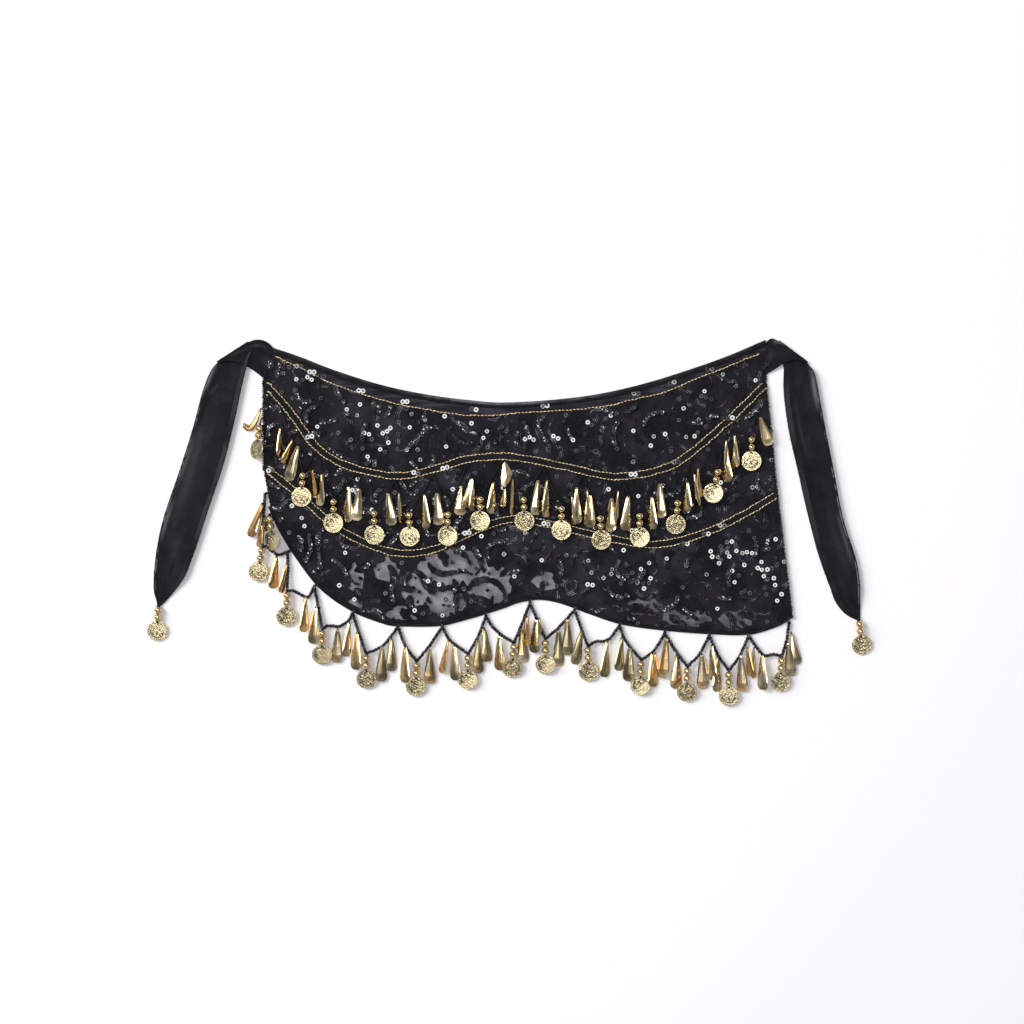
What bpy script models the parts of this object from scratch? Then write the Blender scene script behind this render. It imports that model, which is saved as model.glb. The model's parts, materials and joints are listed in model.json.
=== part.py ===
"""Belly dance hip scarf, laid flat with its ties folded down at both sides.

The scarf lies on the plane z = 0 with its waist edge towards +Y and its hem towards -Y.
All sizes and places are in millimetres until cloth() and place() turn them into metres.
"""
import math

import bpy
from mathutils import Matrix, Vector

MM = 0.001

# ---- driving dimensions, millimetres ----
CLOTH = 1.2              # wall of the panels and of the ties
SEAM_GAP = 0.3           # clearance between pieces that are sewn together
BAND_WIDTH = 7.5         # sewn band under each fringe
BAND_THICK = 1.0
WAIST_BINDING_WIDTH = 6.0
WAIST_BINDING_THICK = 2.2
WAIST_BINDING_ROUND = 0.8
HEM_BINDING_WIDTH = 3.5
HEM_BINDING_THICK = 1.8
FRINGE_THICK = 1.0
UPPER_FRINGE_REACH = 50.0
FOLD_RISE = 2.2          # height of a turned-over tie layer above the one below
FOLD_STEPS = 5           # facets round the fold of a tie
COLUMNS = 44             # facets along each long seam

COIN_DIAMETER = 20.0
COIN_THICK = 1.0
COIN_HOLE_FROM_CENTRE = 8.4
COIN_SIDES = 16
BEAD_DIAMETER = 7.6
BEAD_SIDES = 8
BEAD_STEP = 7.4          # from one bead's centre to the next
BEAD_FROM_COIN = 13.6    # from the coin's centre to the first bead's centre
THREAD_RADIUS = 0.7

PANEL_TOP = CLOTH + SEAM_GAP                   # where a piece on a panel starts
ON_UPPER_FRINGE = PANEL_TOP + FRINGE_THICK + SEAM_GAP
ON_HEM_FRINGE = FRINGE_THICK + SEAM_GAP
EDGE_DROP_HEIGHT = 0.6   # the drop that hangs over the left edge lies beside the panel

# ---- seam lines of the laid-out scarf, from the left end to the right end: x, y ----
WAIST_EDGE = [
    (-235.5, 174.0), (-211.5, 166.0), (-175.5, 152.0), (-127.5, 137.0), (-79.5, 127.0),
    (-31.5, 121.0), (-7.5, 119.5), (40.5, 122.0), (88.5, 128.0), (136.5, 139.0),
    (184.5, 154.0), (220.5, 167.0), (255.5, 182.0),
]
UPPER_SEAM = [
    (-246.5, 135.0), (-226.5, 119.0), (-216.0, 105.5), (-194.8, 77.0), (-174.9, 62.0),
    (-150.0, 52.5), (-110.0, 46.0), (-67.5, 55.0), (-42.5, 62.7), (-5.0, 65.5),
    (35.0, 59.7), (97.5, 46.0), (119.0, 46.2), (142.5, 50.0), (169.0, 60.2),
    (213.5, 96.5), (256.5, 138.5),
]
LOWER_SEAM = [
    (-246.0, 56.0), (-213.0, 29.2), (-183.5, 3.1), (-163.5, -11.2), (-125.5, -27.9),
    (-100.5, -31.4), (-75.5, -27.3), (-50.5, -15.8), (-17.5, -1.7), (3.0, 2.7),
    (26.5, 0.4), (61.5, -7.6), (104.5, -17.2), (142.5, -22.5), (169.1, -18.7),
    (204.5, -7.1), (240.5, 11.2), (267.5, 27.7),
]
HEM = [
    (-241.5, 15.0), (-229.5, -11.0), (-208.0, -44.5), (-187.5, -69.0), (-156.8, -90.0),
    (-124.5, -102.5), (-111.5, -104.4), (-69.5, -104.0), (-43.5, -98.0), (-7.5, -87.0),
    (10.5, -80.5), (30.5, -78.0), (50.5, -81.5), (76.5, -91.0), (109.5, -102.0),
    (148.5, -108.0), (196.5, -112.0), (240.5, -112.6), (269.5, -104.0), (284.0, -95.0),
]
HEM_FRINGE_REACH = [
    (-258.5, 24.0), (-263.5, -13.0), (-256.5, -34.0), (-237.5, -68.0), (-206.5, -110.0),
    (-191.5, -130.0), (-164.5, -149.0), (-127.5, -159.0), (-79.5, -161.0), (-49.5, -158.0),
    (-10.5, -148.0), (16.5, -141.0), (50.5, -145.0), (90.5, -154.0), (140.5, -164.0),
    (190.5, -167.0), (232.5, -169.0), (255.5, -167.0), (280.5, -154.0), (287.5, -142.0),
]

# ---- ties: one row across the ribbon for each section, from the seam to the tip ----
# inner x, inner y, outer x, outer y, rise (share of FOLD_RISE)
LEFT_TIE_OVER = [
    (-236.2, 174.0, -245.0, 142.8, 0.0),
    (-240.5, 178.5, -257.5, 152.5, 0.45),
    (-245.0, 181.2, -268.5, 158.0, 1.0),
    (-249.5, 183.0, -280.5, 160.7, 1.0),
    (-253.5, 184.0, -292.0, 159.3, 1.0),
]
LEFT_TIE_UNDER = [
    (-253.5, 184.0, -292.0, 159.3, 0.0),
    (-256.5, 175.0, -296.5, 154.5, 0.0),
    (-259.5, 165.5, -300.0, 148.5, 0.0),
    (-262.5, 155.0, -303.5, 140.5, 0.0),
    (-266.0, 141.0, -307.0, 130.0, 0.0),
    (-273.5, 106.0, -315.5, 98.0, 0.0),
    (-285.5, 58.0, -330.5, 50.0, 0.0),
    (-301.5, 10.0, -346.5, 2.0, 0.0),
    (-317.5, -38.0, -354.2, -38.0, 0.0),
    (-324.5, -55.0, -355.7, -56.0, 0.0),
    (-335.5, -70.0, -355.2, -71.0, 0.0),
    (-345.0, -80.5, -352.8, -79.5, 0.0),
    (-349.4, -84.5, -352.2, -84.4, 0.0),
]
RIGHT_TIE_OVER = [
    (258.6, 181.8, 257.5, 148.2, 0.0),
    (260.4, 182.8, 265.5, 152.8, 0.45),
    (262.0, 183.4, 274.0, 158.4, 1.0),
    (263.6, 183.6, 285.5, 162.0, 1.0),
    (265.0, 183.4, 297.5, 159.0, 1.0),
]
RIGHT_TIE_UNDER = [
    (265.0, 183.4, 297.5, 159.0, 0.0),
    (268.0, 174.0, 301.0, 155.0, 0.0),
    (271.5, 164.0, 303.8, 150.5, 0.0),
    (274.0, 154.5, 305.8, 144.5, 0.0),
    (273.8, 140.0, 307.5, 136.0, 0.0),
    (278.0, 98.0, 314.5, 98.0, 0.0),
    (288.5, 50.0, 324.0, 50.0, 0.0),
    (299.5, 2.0, 333.5, 2.0, 0.0),
    (312.5, -44.0, 347.5, -44.0, 0.0),
    (319.5, -63.0, 349.8, -60.0, 0.0),
    (328.5, -84.0, 350.5, -80.0, 0.0),
    (339.5, -94.5, 350.6, -93.5, 0.0),
    (347.6, -98.4, 350.6, -98.3, 0.0),
]

# ---- coin drops: coin centre x, y, swing to the right of straight up in degrees ----
UPPER_DROPS = [
    (-207.6, 25.2, 3.0), (-175.9, -0.9, 0.0), (-134.9, -12.6, -0.5), (-99.6, -14.3, -1.6),
    (-61.8, -13.6, 1.3), (-29.5, 1.4, 1.6), (14.9, 1.2, -2.1), (51.9, -8.0, 0.0),
    (91.6, -17.6, -3.4), (130.0, -15.1, -0.8), (165.9, -2.2, 4.2), (203.3, 29.1, 11.5),
    (241.5, 61.1, -1.0),
]
HEM_DROPS = [
    (-250.5, -49.5, 8.0), (-222.8, -94.4, 1.8), (-187.2, -132.4, 1.0), (-142.8, -156.9, -0.5),
    (-93.5, -164.4, 2.0), (-41.7, -157.0, 1.3), (2.6, -145.7, 4.8), (36.1, -142.1, 0.0),
    (79.1, -149.3, -1.6), (130.9, -163.2, 1.0), (177.3, -169.9, 0.5), (219.2, -173.8, -0.5),
    (270.7, -159.5, 2.8),
]
EDGE_DROP = (-252.0, 72.5, 7.0)
EDGE_DROP_LEAN = 45.0    # this coin stands on its left rim
CORNER_DROP = (-236.4, -18.2, -8.0)
CORNER_DROP_LEAN = 37.0
LEFT_TIE_DROP = (-352.1, -108.8, 2.8)
RIGHT_TIE_DROP = (352.0, -122.8, -6.3)


def material(name, colour, roughness, metallic=0.0):
    """A plain Principled finish."""
    finish = bpy.data.materials.new(name)
    finish.use_nodes = True
    shader = finish.node_tree.nodes["Principled BSDF"]
    shader.inputs["Base Color"].default_value = (*colour, 1.0)
    shader.inputs["Roughness"].default_value = roughness
    shader.inputs["Metallic"].default_value = metallic
    return finish


def collection(name):
    """A new collection of the scene."""
    group = bpy.data.collections.new(name)
    bpy.context.scene.collection.children.link(group)
    return group


def on_line(points, share):
    """The point at a share of a line's length, on smooth cubic pieces through its points."""
    knots = [0.0]
    for start, end in zip(points, points[1:]):
        knots.append(knots[-1] + math.dist(start, end))
    target = share * knots[-1]
    last = len(points) - 1
    piece = max(i for i in range(last) if knots[i] <= target or i == 0)

    def slope(i):
        before, after = max(i - 1, 0), min(i + 1, last)
        return (Vector(points[after]) - Vector(points[before])) / (knots[after] - knots[before])

    span = knots[piece + 1] - knots[piece]
    t = (target - knots[piece]) / span
    start, end = Vector(points[piece]), Vector(points[piece + 1])
    return (start * (2 * t**3 - 3 * t**2 + 1) + end * (3 * t**2 - 2 * t**3)
            + slope(piece) * span * (t**3 - 2 * t**2 + t) + slope(piece + 1) * span * (t**3 - t**2))


def beside(points, share, distance):
    """A point of a line, moved square to it, towards the waist where distance is positive."""
    reach = 0.002
    along = on_line(points, min(share + reach, 1.0)) - on_line(points, max(share - reach, 0.0))
    square = Vector((-along.y, along.x)).normalized()
    return on_line(points, share) + square * distance


def cloth(name, rows, thickness, finish, group, middle=False):
    """A wall of cloth on rows of (x, y, z) points, which run left to right, waist to hem."""
    across = len(rows[0])
    verts = [Vector(point) * MM for row in rows for point in row]
    faces = []
    for r in range(len(rows) - 1):
        for c in range(across - 1):
            corner = r * across + c
            faces.append((corner, corner + across, corner + across + 1, corner + 1))
    mesh = bpy.data.meshes.new(name)
    mesh.from_pydata(verts, [], faces)
    mesh.materials.append(finish)
    piece = bpy.data.objects.new(name, mesh)
    group.objects.link(piece)
    wall = piece.modifiers.new("wall", "SOLIDIFY")
    wall.thickness = thickness * MM
    wall.offset = 0.0 if middle else 1.0
    wall.use_even_offset = middle
    return piece


def seam_row(points, distance, height, start=0.0, end=1.0, drop=0.0):
    """One row of points along a seam line, moved beside it and lowered towards the hem."""
    row = []
    for column in range(COLUMNS + 1):
        share = start + (end - start) * column / COLUMNS
        point = beside(points, share, distance)
        row.append((point.x, point.y - drop, height))
    return row


def halfway(row, other):
    """The row midway between two rows."""
    return [tuple((a + b) / 2 for a, b in zip(p, q)) for p, q in zip(row, other)]


def panels(finish, group):
    """The two panels, which meet under the lower band."""
    waist = seam_row(WAIST_EDGE, -(WAIST_BINDING_WIDTH + SEAM_GAP), 0.0)
    upper = seam_row(UPPER_SEAM, 0.0, 0.0)
    meeting = seam_row(LOWER_SEAM, SEAM_GAP / 2, 0.0)
    cloth("body_panel", [waist, halfway(waist, upper), upper, halfway(upper, meeting), meeting],
          CLOTH, finish, group)
    start = seam_row(LOWER_SEAM, -SEAM_GAP / 2, 0.0)
    end = seam_row(HEM, HEM_BINDING_WIDTH + SEAM_GAP, 0.0)
    cloth("lower_panel", [start, halfway(start, end), end], CLOTH, finish, group)


def strip(name, line, inner, outer, bottom, thickness, finish, group):
    """A flat strip along a seam line, from inner to outer millimetres beside it."""
    rows = [seam_row(line, inner, bottom), seam_row(line, outer, bottom)]
    return cloth(name, rows, thickness, finish, group)


def tie(name, over, under, finish, group):
    """A ribbon with its first stretch turned over on the second at a slanting fold."""
    rest = CLOTH / 2
    across = 5

    def section(inner, outer, height):
        return [(*inner.lerp(outer, i / (across - 1)), height) for i in range(across)]

    rows = [section(Vector(row[0:2]), Vector(row[2:4]), rest + row[4] * FOLD_RISE) for row in over]
    crease_inner, crease_outer = Vector(over[-1][0:2]), Vector(over[-1][2:4])
    crease = crease_outer - crease_inner
    away = Vector((-crease.y, crease.x)).normalized()
    if away.y < 0:
        away = -away
    radius = FOLD_RISE / 2
    for step in range(1, FOLD_STEPS):
        angle = math.pi * step / FOLD_STEPS
        shift = away * radius * math.sin(angle)
        rows.append(section(crease_inner + shift, crease_outer + shift,
                            rest + radius * (1 + math.cos(angle))))
    rows += [section(Vector(row[0:2]), Vector(row[2:4]), rest) for row in under]
    return cloth(name, rows, CLOTH, finish, group, middle=True)


def bead_string(length, guides):
    """Two beads on their thread as one turned mesh along +Z, from the coin's hole at z = 0."""
    radius = BEAD_DIAMETER / 2
    first = length - BEAD_STEP
    profile = [(0.0, length + radius)]
    for centre in (length, first):
        for degrees in (60, 30, 0, -30, -60):
            angle = math.radians(degrees)
            profile.append((radius * math.cos(angle), centre + radius * math.sin(angle)))
    profile += [(THREAD_RADIUS, first - radius), (THREAD_RADIUS, 0.0), (0.0, 0.0)]
    mesh = bpy.data.meshes.new("bead_string")
    verts = [(x * MM, 0.0, z * MM) for x, z in profile]
    mesh.from_pydata(verts, [(i, i + 1) for i in range(len(verts) - 1)], [])
    beads = bpy.data.objects.new("bead_string", mesh)
    guides.objects.link(beads)
    turn = beads.modifiers.new("turn", "SCREW")
    turn.steps = BEAD_SIDES
    turn.render_steps = BEAD_SIDES
    turn.use_merge_vertices = True
    turn.merge_threshold = 0.00001
    beads.hide_render = True
    beads.display_type = "WIRE"
    return beads


def drop_mesh(name, lean, finish, guides):
    """A coin whose low rim is at z = 0, joined to two beads that lie at z = 0 above it in +Y.

    With no lean the coin slopes up to the thread; with one it also stands on its left rim."""
    bead_height = BEAD_DIAMETER / 2
    radius = COIN_DIAMETER / 2
    if lean:
        slope = 0.0
        centre = radius * math.sin(math.radians(lean)) + COIN_THICK / 2
    else:
        slope = math.asin((bead_height - COIN_THICK / 2) / (radius + COIN_HOLE_FROM_CENTRE))
        centre = bead_height - COIN_HOLE_FROM_CENTRE * math.sin(slope)
    turned = Matrix.Rotation(slope, 4, "X") @ Matrix.Rotation(-math.radians(lean), 4, "Y")
    hole = Matrix.Translation((0, 0, centre)) @ turned @ Vector((0, COIN_HOLE_FROM_CENTRE, 0))
    far_bead = Vector((0, BEAD_FROM_COIN + BEAD_STEP, bead_height))

    bpy.ops.mesh.primitive_cylinder_add(vertices=COIN_SIDES, radius=radius * MM,
                                        depth=COIN_THICK * MM)
    coin = bpy.context.object
    coin.name = name
    coin.matrix_world = Matrix.Translation((0, 0, centre * MM)) @ turned
    beads = bead_string((far_bead - hole).length, guides)
    aim = (far_bead - hole).to_track_quat("Z", "X").to_matrix().to_4x4()
    beads.matrix_world = Matrix.Translation(hole * MM) @ aim
    join = coin.modifiers.new("beads", "BOOLEAN")
    join.operation = "UNION"
    join.object = beads
    bpy.context.view_layer.update()
    evaluated = coin.evaluated_get(bpy.context.evaluated_depsgraph_get())
    mesh = bpy.data.meshes.new_from_object(evaluated)
    mesh.transform(coin.matrix_world)
    mesh.name = name
    mesh.materials.clear()
    mesh.materials.append(finish)
    bpy.data.objects.remove(coin)
    bpy.data.objects.remove(beads)
    return mesh


def place(name, mesh, spot, height, group):
    """A drop laid at its coin's centre, turned about it so that its beads swing sideways."""
    x, y, swing = spot
    drop = bpy.data.objects.new(name, mesh)
    drop.location = (x * MM, y * MM, height * MM)
    drop.rotation_euler.z = -math.radians(swing)
    group.objects.link(drop)
    return drop


def drops(finish, group, guides):
    """Every coin drop: along the upper fringe, along the hem, and one on each tie."""
    lying = drop_mesh("drop_lying", 0.0, finish, guides)
    for number, spot in enumerate(UPPER_DROPS, start=1):
        place(f"drop_upper_{number:02d}", lying, spot, ON_UPPER_FRINGE, group)
    for number, spot in enumerate(HEM_DROPS, start=1):
        place(f"drop_hem_{number:02d}", lying, spot, ON_HEM_FRINGE, group)
    place("drop_tie_left", lying, LEFT_TIE_DROP, 0.0, group)
    place("drop_tie_right", lying, RIGHT_TIE_DROP, 0.0, group)
    edge = drop_mesh("drop_edge_shape", EDGE_DROP_LEAN, finish, guides)
    place("drop_upper_edge", edge, EDGE_DROP, EDGE_DROP_HEIGHT, group)
    corner = drop_mesh("drop_corner_shape", CORNER_DROP_LEAN, finish, guides)
    place("drop_hem_corner", corner, CORNER_DROP, ON_HEM_FRINGE, group)


def fringes(finish, group):
    """Each fringe as one plain sheet of its reach."""
    half = BAND_WIDTH / 2 + 2 * SEAM_GAP
    ends = {"start": 0.012, "end": 0.99}
    rows = [seam_row(UPPER_SEAM, -half, PANEL_TOP, drop=UPPER_FRINGE_REACH * share, **ends)
            for share in (0.0, 0.5, 1.0)]
    cloth("fringe_upper", rows, FRINGE_THICK, finish, group)
    start = seam_row(HEM, -SEAM_GAP, 0.0)
    end = seam_row(HEM_FRINGE_REACH, 0.0, 0.0)
    cloth("fringe_hem", [start, halfway(start, end), end], FRINGE_THICK, finish, group)


def main():
    for old in list(bpy.data.objects):
        bpy.data.objects.remove(old)
    scarf = collection("hip_scarf")
    guides = collection("guides")
    mesh_cloth = material("sequin_mesh", (0.012, 0.012, 0.014), 0.55)
    band_cloth = material("band_cloth", (0.020, 0.020, 0.024), 0.60)
    chiffon = material("chiffon", (0.025, 0.025, 0.028), 0.65)
    fringe_gold = material("fringe_gold", (0.55, 0.42, 0.20), 0.35, 1.0)
    coin_gold = material("coin_gold", (0.75, 0.62, 0.36), 0.30, 1.0)

    panels(mesh_cloth, scarf)
    rolled = strip("waist_binding", WAIST_EDGE, 0.0, -WAIST_BINDING_WIDTH, 0.0,
                   WAIST_BINDING_THICK, chiffon, scarf)
    roll = rolled.modifiers.new("roll", "BEVEL")
    roll.width = WAIST_BINDING_ROUND * MM
    roll.segments = 1
    half = BAND_WIDTH / 2
    strip("upper_band", UPPER_SEAM, half, -half, PANEL_TOP, BAND_THICK, band_cloth, scarf)
    strip("lower_band", LOWER_SEAM, half, -half, PANEL_TOP, BAND_THICK, band_cloth, scarf)
    strip("hem_binding", HEM, HEM_BINDING_WIDTH, 0.0, 0.0, HEM_BINDING_THICK, chiffon, scarf)
    tie("tie_left", LEFT_TIE_OVER, LEFT_TIE_UNDER, chiffon, scarf)
    tie("tie_right", RIGHT_TIE_OVER, RIGHT_TIE_UNDER, chiffon, scarf)
    fringes(fringe_gold, scarf)
    drops(coin_gold, scarf, guides)


main()
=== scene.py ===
"""Belly dance hip scarf: cloth, sequins, stitching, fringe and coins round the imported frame.

Sizes in the tables are millimetres; MM turns them into metres where a mesh is made.
"""
import functools
import json
import math
import random

import bmesh
import bpy
import numpy as np
from bpy.props import FloatProperty, FloatVectorProperty, IntProperty, PointerProperty
from mathutils import Matrix, Vector, noise
from mathutils.kdtree import KDTree
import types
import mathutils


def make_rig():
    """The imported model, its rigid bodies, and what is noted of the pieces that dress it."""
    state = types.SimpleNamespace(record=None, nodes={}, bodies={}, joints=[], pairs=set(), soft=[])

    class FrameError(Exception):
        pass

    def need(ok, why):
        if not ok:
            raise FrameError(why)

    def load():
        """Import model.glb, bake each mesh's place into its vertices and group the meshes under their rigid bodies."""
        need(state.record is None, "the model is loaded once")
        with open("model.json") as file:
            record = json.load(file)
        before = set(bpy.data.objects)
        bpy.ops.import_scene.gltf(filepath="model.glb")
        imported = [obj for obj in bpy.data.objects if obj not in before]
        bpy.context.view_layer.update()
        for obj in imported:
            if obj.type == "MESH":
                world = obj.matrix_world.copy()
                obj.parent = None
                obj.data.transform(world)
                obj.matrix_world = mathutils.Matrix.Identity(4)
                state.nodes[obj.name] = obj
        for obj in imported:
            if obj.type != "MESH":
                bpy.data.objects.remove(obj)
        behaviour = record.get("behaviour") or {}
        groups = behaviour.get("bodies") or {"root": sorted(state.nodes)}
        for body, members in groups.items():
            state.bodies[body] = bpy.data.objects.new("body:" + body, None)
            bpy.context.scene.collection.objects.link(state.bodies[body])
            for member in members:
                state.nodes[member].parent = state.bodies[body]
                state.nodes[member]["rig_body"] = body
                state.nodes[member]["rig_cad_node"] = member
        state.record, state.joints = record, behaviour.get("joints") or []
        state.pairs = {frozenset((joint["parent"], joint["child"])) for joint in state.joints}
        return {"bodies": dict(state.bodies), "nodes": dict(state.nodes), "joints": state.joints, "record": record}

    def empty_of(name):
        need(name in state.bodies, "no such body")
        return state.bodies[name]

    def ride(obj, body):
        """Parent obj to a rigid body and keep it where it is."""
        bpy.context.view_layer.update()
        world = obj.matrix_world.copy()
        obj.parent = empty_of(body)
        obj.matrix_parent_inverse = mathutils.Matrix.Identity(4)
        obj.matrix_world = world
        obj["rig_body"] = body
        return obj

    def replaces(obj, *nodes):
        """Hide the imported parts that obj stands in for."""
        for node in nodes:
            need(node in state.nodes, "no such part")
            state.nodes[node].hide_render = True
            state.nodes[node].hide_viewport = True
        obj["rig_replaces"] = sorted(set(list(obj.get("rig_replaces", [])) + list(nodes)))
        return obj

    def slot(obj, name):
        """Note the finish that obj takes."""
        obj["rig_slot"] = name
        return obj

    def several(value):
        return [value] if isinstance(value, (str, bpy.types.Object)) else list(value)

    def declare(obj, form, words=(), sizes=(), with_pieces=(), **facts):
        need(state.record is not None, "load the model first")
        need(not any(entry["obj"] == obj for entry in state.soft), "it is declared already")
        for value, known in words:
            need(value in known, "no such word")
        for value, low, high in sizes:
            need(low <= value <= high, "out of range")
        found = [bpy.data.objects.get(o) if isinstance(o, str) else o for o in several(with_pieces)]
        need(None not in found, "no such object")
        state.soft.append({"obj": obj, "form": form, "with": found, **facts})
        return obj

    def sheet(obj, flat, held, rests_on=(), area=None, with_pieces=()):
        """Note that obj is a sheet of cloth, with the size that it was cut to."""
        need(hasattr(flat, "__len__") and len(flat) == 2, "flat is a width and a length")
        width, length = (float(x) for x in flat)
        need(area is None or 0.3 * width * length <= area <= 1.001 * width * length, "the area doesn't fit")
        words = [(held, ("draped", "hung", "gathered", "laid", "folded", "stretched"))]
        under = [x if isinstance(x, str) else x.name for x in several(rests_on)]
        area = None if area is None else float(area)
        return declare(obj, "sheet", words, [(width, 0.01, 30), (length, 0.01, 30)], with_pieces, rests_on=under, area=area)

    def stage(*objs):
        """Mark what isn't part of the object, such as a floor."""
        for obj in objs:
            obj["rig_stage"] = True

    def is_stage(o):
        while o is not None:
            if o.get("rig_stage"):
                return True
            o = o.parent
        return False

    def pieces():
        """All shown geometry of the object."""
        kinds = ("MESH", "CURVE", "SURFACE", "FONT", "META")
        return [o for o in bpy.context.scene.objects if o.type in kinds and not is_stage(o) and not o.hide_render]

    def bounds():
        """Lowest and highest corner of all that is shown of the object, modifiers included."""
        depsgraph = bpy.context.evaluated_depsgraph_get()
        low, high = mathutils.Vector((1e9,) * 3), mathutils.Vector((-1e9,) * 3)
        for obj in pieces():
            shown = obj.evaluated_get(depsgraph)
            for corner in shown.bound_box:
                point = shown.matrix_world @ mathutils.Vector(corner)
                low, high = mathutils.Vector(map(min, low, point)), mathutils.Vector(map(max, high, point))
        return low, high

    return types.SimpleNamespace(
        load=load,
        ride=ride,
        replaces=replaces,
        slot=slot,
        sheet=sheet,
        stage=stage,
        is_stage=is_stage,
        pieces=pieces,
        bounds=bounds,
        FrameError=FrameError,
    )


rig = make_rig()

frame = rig.load()
CAD_BOX = [list(corner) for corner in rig.bounds()]

bl_info = {
    "name": "Hip scarf",
    "version": (1, 0, 0),
    "blender": (4, 5, 0),
    "location": "3D View > Sidebar > Hip scarf",
    "description": "Makes the cloth, sequins, stitching, fringe and coins of a hip scarf",
    "category": "Object",
}

MM = 0.001

# ---- layers, millimetres ----
CLOTH = 1.2
SEAM_GAP = 0.3
BAND_WIDTH = 7.5
BAND_THICK = 1.0
WAIST_BINDING_WIDTH = 6.0
HEM_BINDING_WIDTH = 3.5
FOLD_RISE = 2.2
PANEL_TOP = CLOTH + SEAM_GAP
BAND_TOP = PANEL_TOP + BAND_THICK
FRINGE_THICK = 1.0
ON_UPPER_FRINGE = PANEL_TOP + FRINGE_THICK + SEAM_GAP
ON_HEM_FRINGE = FRINGE_THICK + SEAM_GAP
EDGE_DROP_HEIGHT = 0.6

# ---- cloth, millimetres ----
UNDERSIDE = 0.02        # how far cloth clears the floor
TAPE_THICK = 0.38
EDGE_PRESS = 0.35       # how much flatter a panel is at its edge
FRAY = 1.2
TIE_REST = 0.6          # the height of a lying ribbon's middle
TIE_WALL = 0.42         # half a ribbon's thickness
SEAM_TUCK = 1.2         # how far a ribbon runs in under the panel
TIE_STAND = 3.2         # how high a ribbon's loose long edge stands
CURL_RISE = 2.2         # how high the right side edge stands
BANDS_LEFT_END = -246.8
STITCHES_LEFT_END = -240.5
TIE_COLUMNS = 30
FOLD_STEPS = 12

# ---- sequins, millimetres ----
RING_GAP = 4.1          # between the middles of neighbouring rings
LONE_RING_GAP = 20.5
PAILLETTE_WIDTH = 11.4
FOIL = 0.35
LAYER_STEP = 0.54       # from one hanging paillette up to the next over it

# ---- coin drops, millimetres ----
COIN_RADIUS = 10.0
COIN_THICK = 1.0
COIN_HOLE_FROM_CENTRE = 8.4
BEAD_RADIUS = 3.8
BEAD_STEP = 7.4
BEAD_FROM_COIN = 13.6

# a coin's slope across and along, the turn and amount of its bend, how deep its relief still is
# and how dark its hollows are
COIN_KINDS = (
    (0.00, -0.02, -0.5, 0.13, 0.42, 0.95), (0.03, 0.00, 2.2, 0.00, 0.46, 0.95),
    (0.01, -0.03, -0.9, 0.11, 0.40, 0.95), (0.015, -0.085, 1.2, 0.02, 0.28, 0.75),
    (-0.03, -0.01, -0.6, 0.03, 0.50, 0.95),
)
# which kind hangs at each place of the two fringes
UPPER_COIN_KINDS = (4, 3, 1, 4, 3, 1, 2, 4, 5, 3, 2, 1, 4)
HEM_COIN_KINDS = (4, 5, 1, 2, 5, 3, 2, 1, 5, 3, 2, 4, 5)

# ---- seam lines from the left end to the right end: x, y ----
WAIST_EDGE = [
    (-235.5, 174), (-211.5, 166), (-175.5, 152), (-127.5, 137), (-79.5, 127), (-31.5, 121),
    (-7.5, 119.5), (40.5, 122), (88.5, 128), (136.5, 139), (184.5, 154), (220.5, 167),
    (255.5, 182),
]
WAIST_STITCHING = [
    (-233, 164.5), (-210.5, 155), (-183.5, 141), (-153.5, 130), (-120.5, 120), (-83.5, 112.5),
    (-50.5, 107.5), (-17.5, 106.5), (8.5, 109), (26.5, 110), (58.5, 112), (79.5, 113.5),
    (104.5, 117.5), (129.5, 124), (154.5, 129.5), (186.5, 143), (219.5, 156), (251.5, 169),
]
UPPER_SEAM = [
    (-246.5, 141), (-226, 118.5), (-215, 104.5), (-194.8, 77), (-174.9, 62), (-150, 52.5),
    (-110, 46), (-67.5, 55), (-42.5, 62.7), (-5, 65.5), (35, 59.7), (97.5, 46), (119, 46.2),
    (142.5, 50), (169, 60.2), (213.5, 96.5), (256.5, 138.5),
]
LOWER_SEAM = [
    (-246, 56), (-213, 29.2), (-183.5, 3.1), (-163.5, -11.2), (-125.5, -27.9), (-100.5, -31.4),
    (-75.5, -27.3), (-50.5, -15.8), (-17.5, -1.7), (3, 2.7), (26.5, 0.4), (61.5, -7.6),
    (104.5, -17.2), (142.5, -22.5), (169.1, -18.7), (204.5, -7.1), (240.5, 11.2), (267.5, 27.7),
]
HEM = [
    (-241.5, 15), (-229.5, -11), (-208, -44.5), (-187.5, -69), (-156.8, -90), (-124.5, -102.5),
    (-111.5, -104.4), (-69.5, -104), (-43.5, -98), (-7.5, -87), (10.5, -80.5), (30.5, -78),
    (50.5, -81.5), (76.5, -91), (109.5, -102), (148.5, -108), (196.5, -112), (240.5, -112.6),
    (269.5, -104), (284, -95),
]

# ---- ties, one row across the ribbon for each section: inner x, y, outer x, y, rise ----
LEFT_TIE_OVER = [
    (-236.2, 174, -245, 142.8, 0), (-240.5, 178.5, -257.5, 152.5, 0.45),
    (-245, 181.2, -268.5, 158, 1), (-249.5, 183, -280.5, 160.7, 1), (-253.5, 184, -292, 159.3, 1),
]
LEFT_TIE_UNDER = [
    (-253.5, 184, -292, 159.3, 0), (-256.5, 175, -296.5, 154.5, 0),
    (-259.5, 165.5, -300, 148.5, 0), (-262.5, 155, -303.5, 140.5, 0), (-266, 141, -307, 130, 0),
    (-273.5, 106, -315.5, 98, 0), (-285.5, 58, -330.5, 50, 0), (-301.5, 10, -346.5, 2, 0),
    (-317.5, -38, -354.2, -38, 0), (-324.5, -55, -355.7, -56, 0), (-335.5, -70, -355.2, -71, 0),
    (-345, -80.5, -352.8, -79.5, 0), (-349.4, -84.5, -352.2, -84.4, 0),
]
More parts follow.
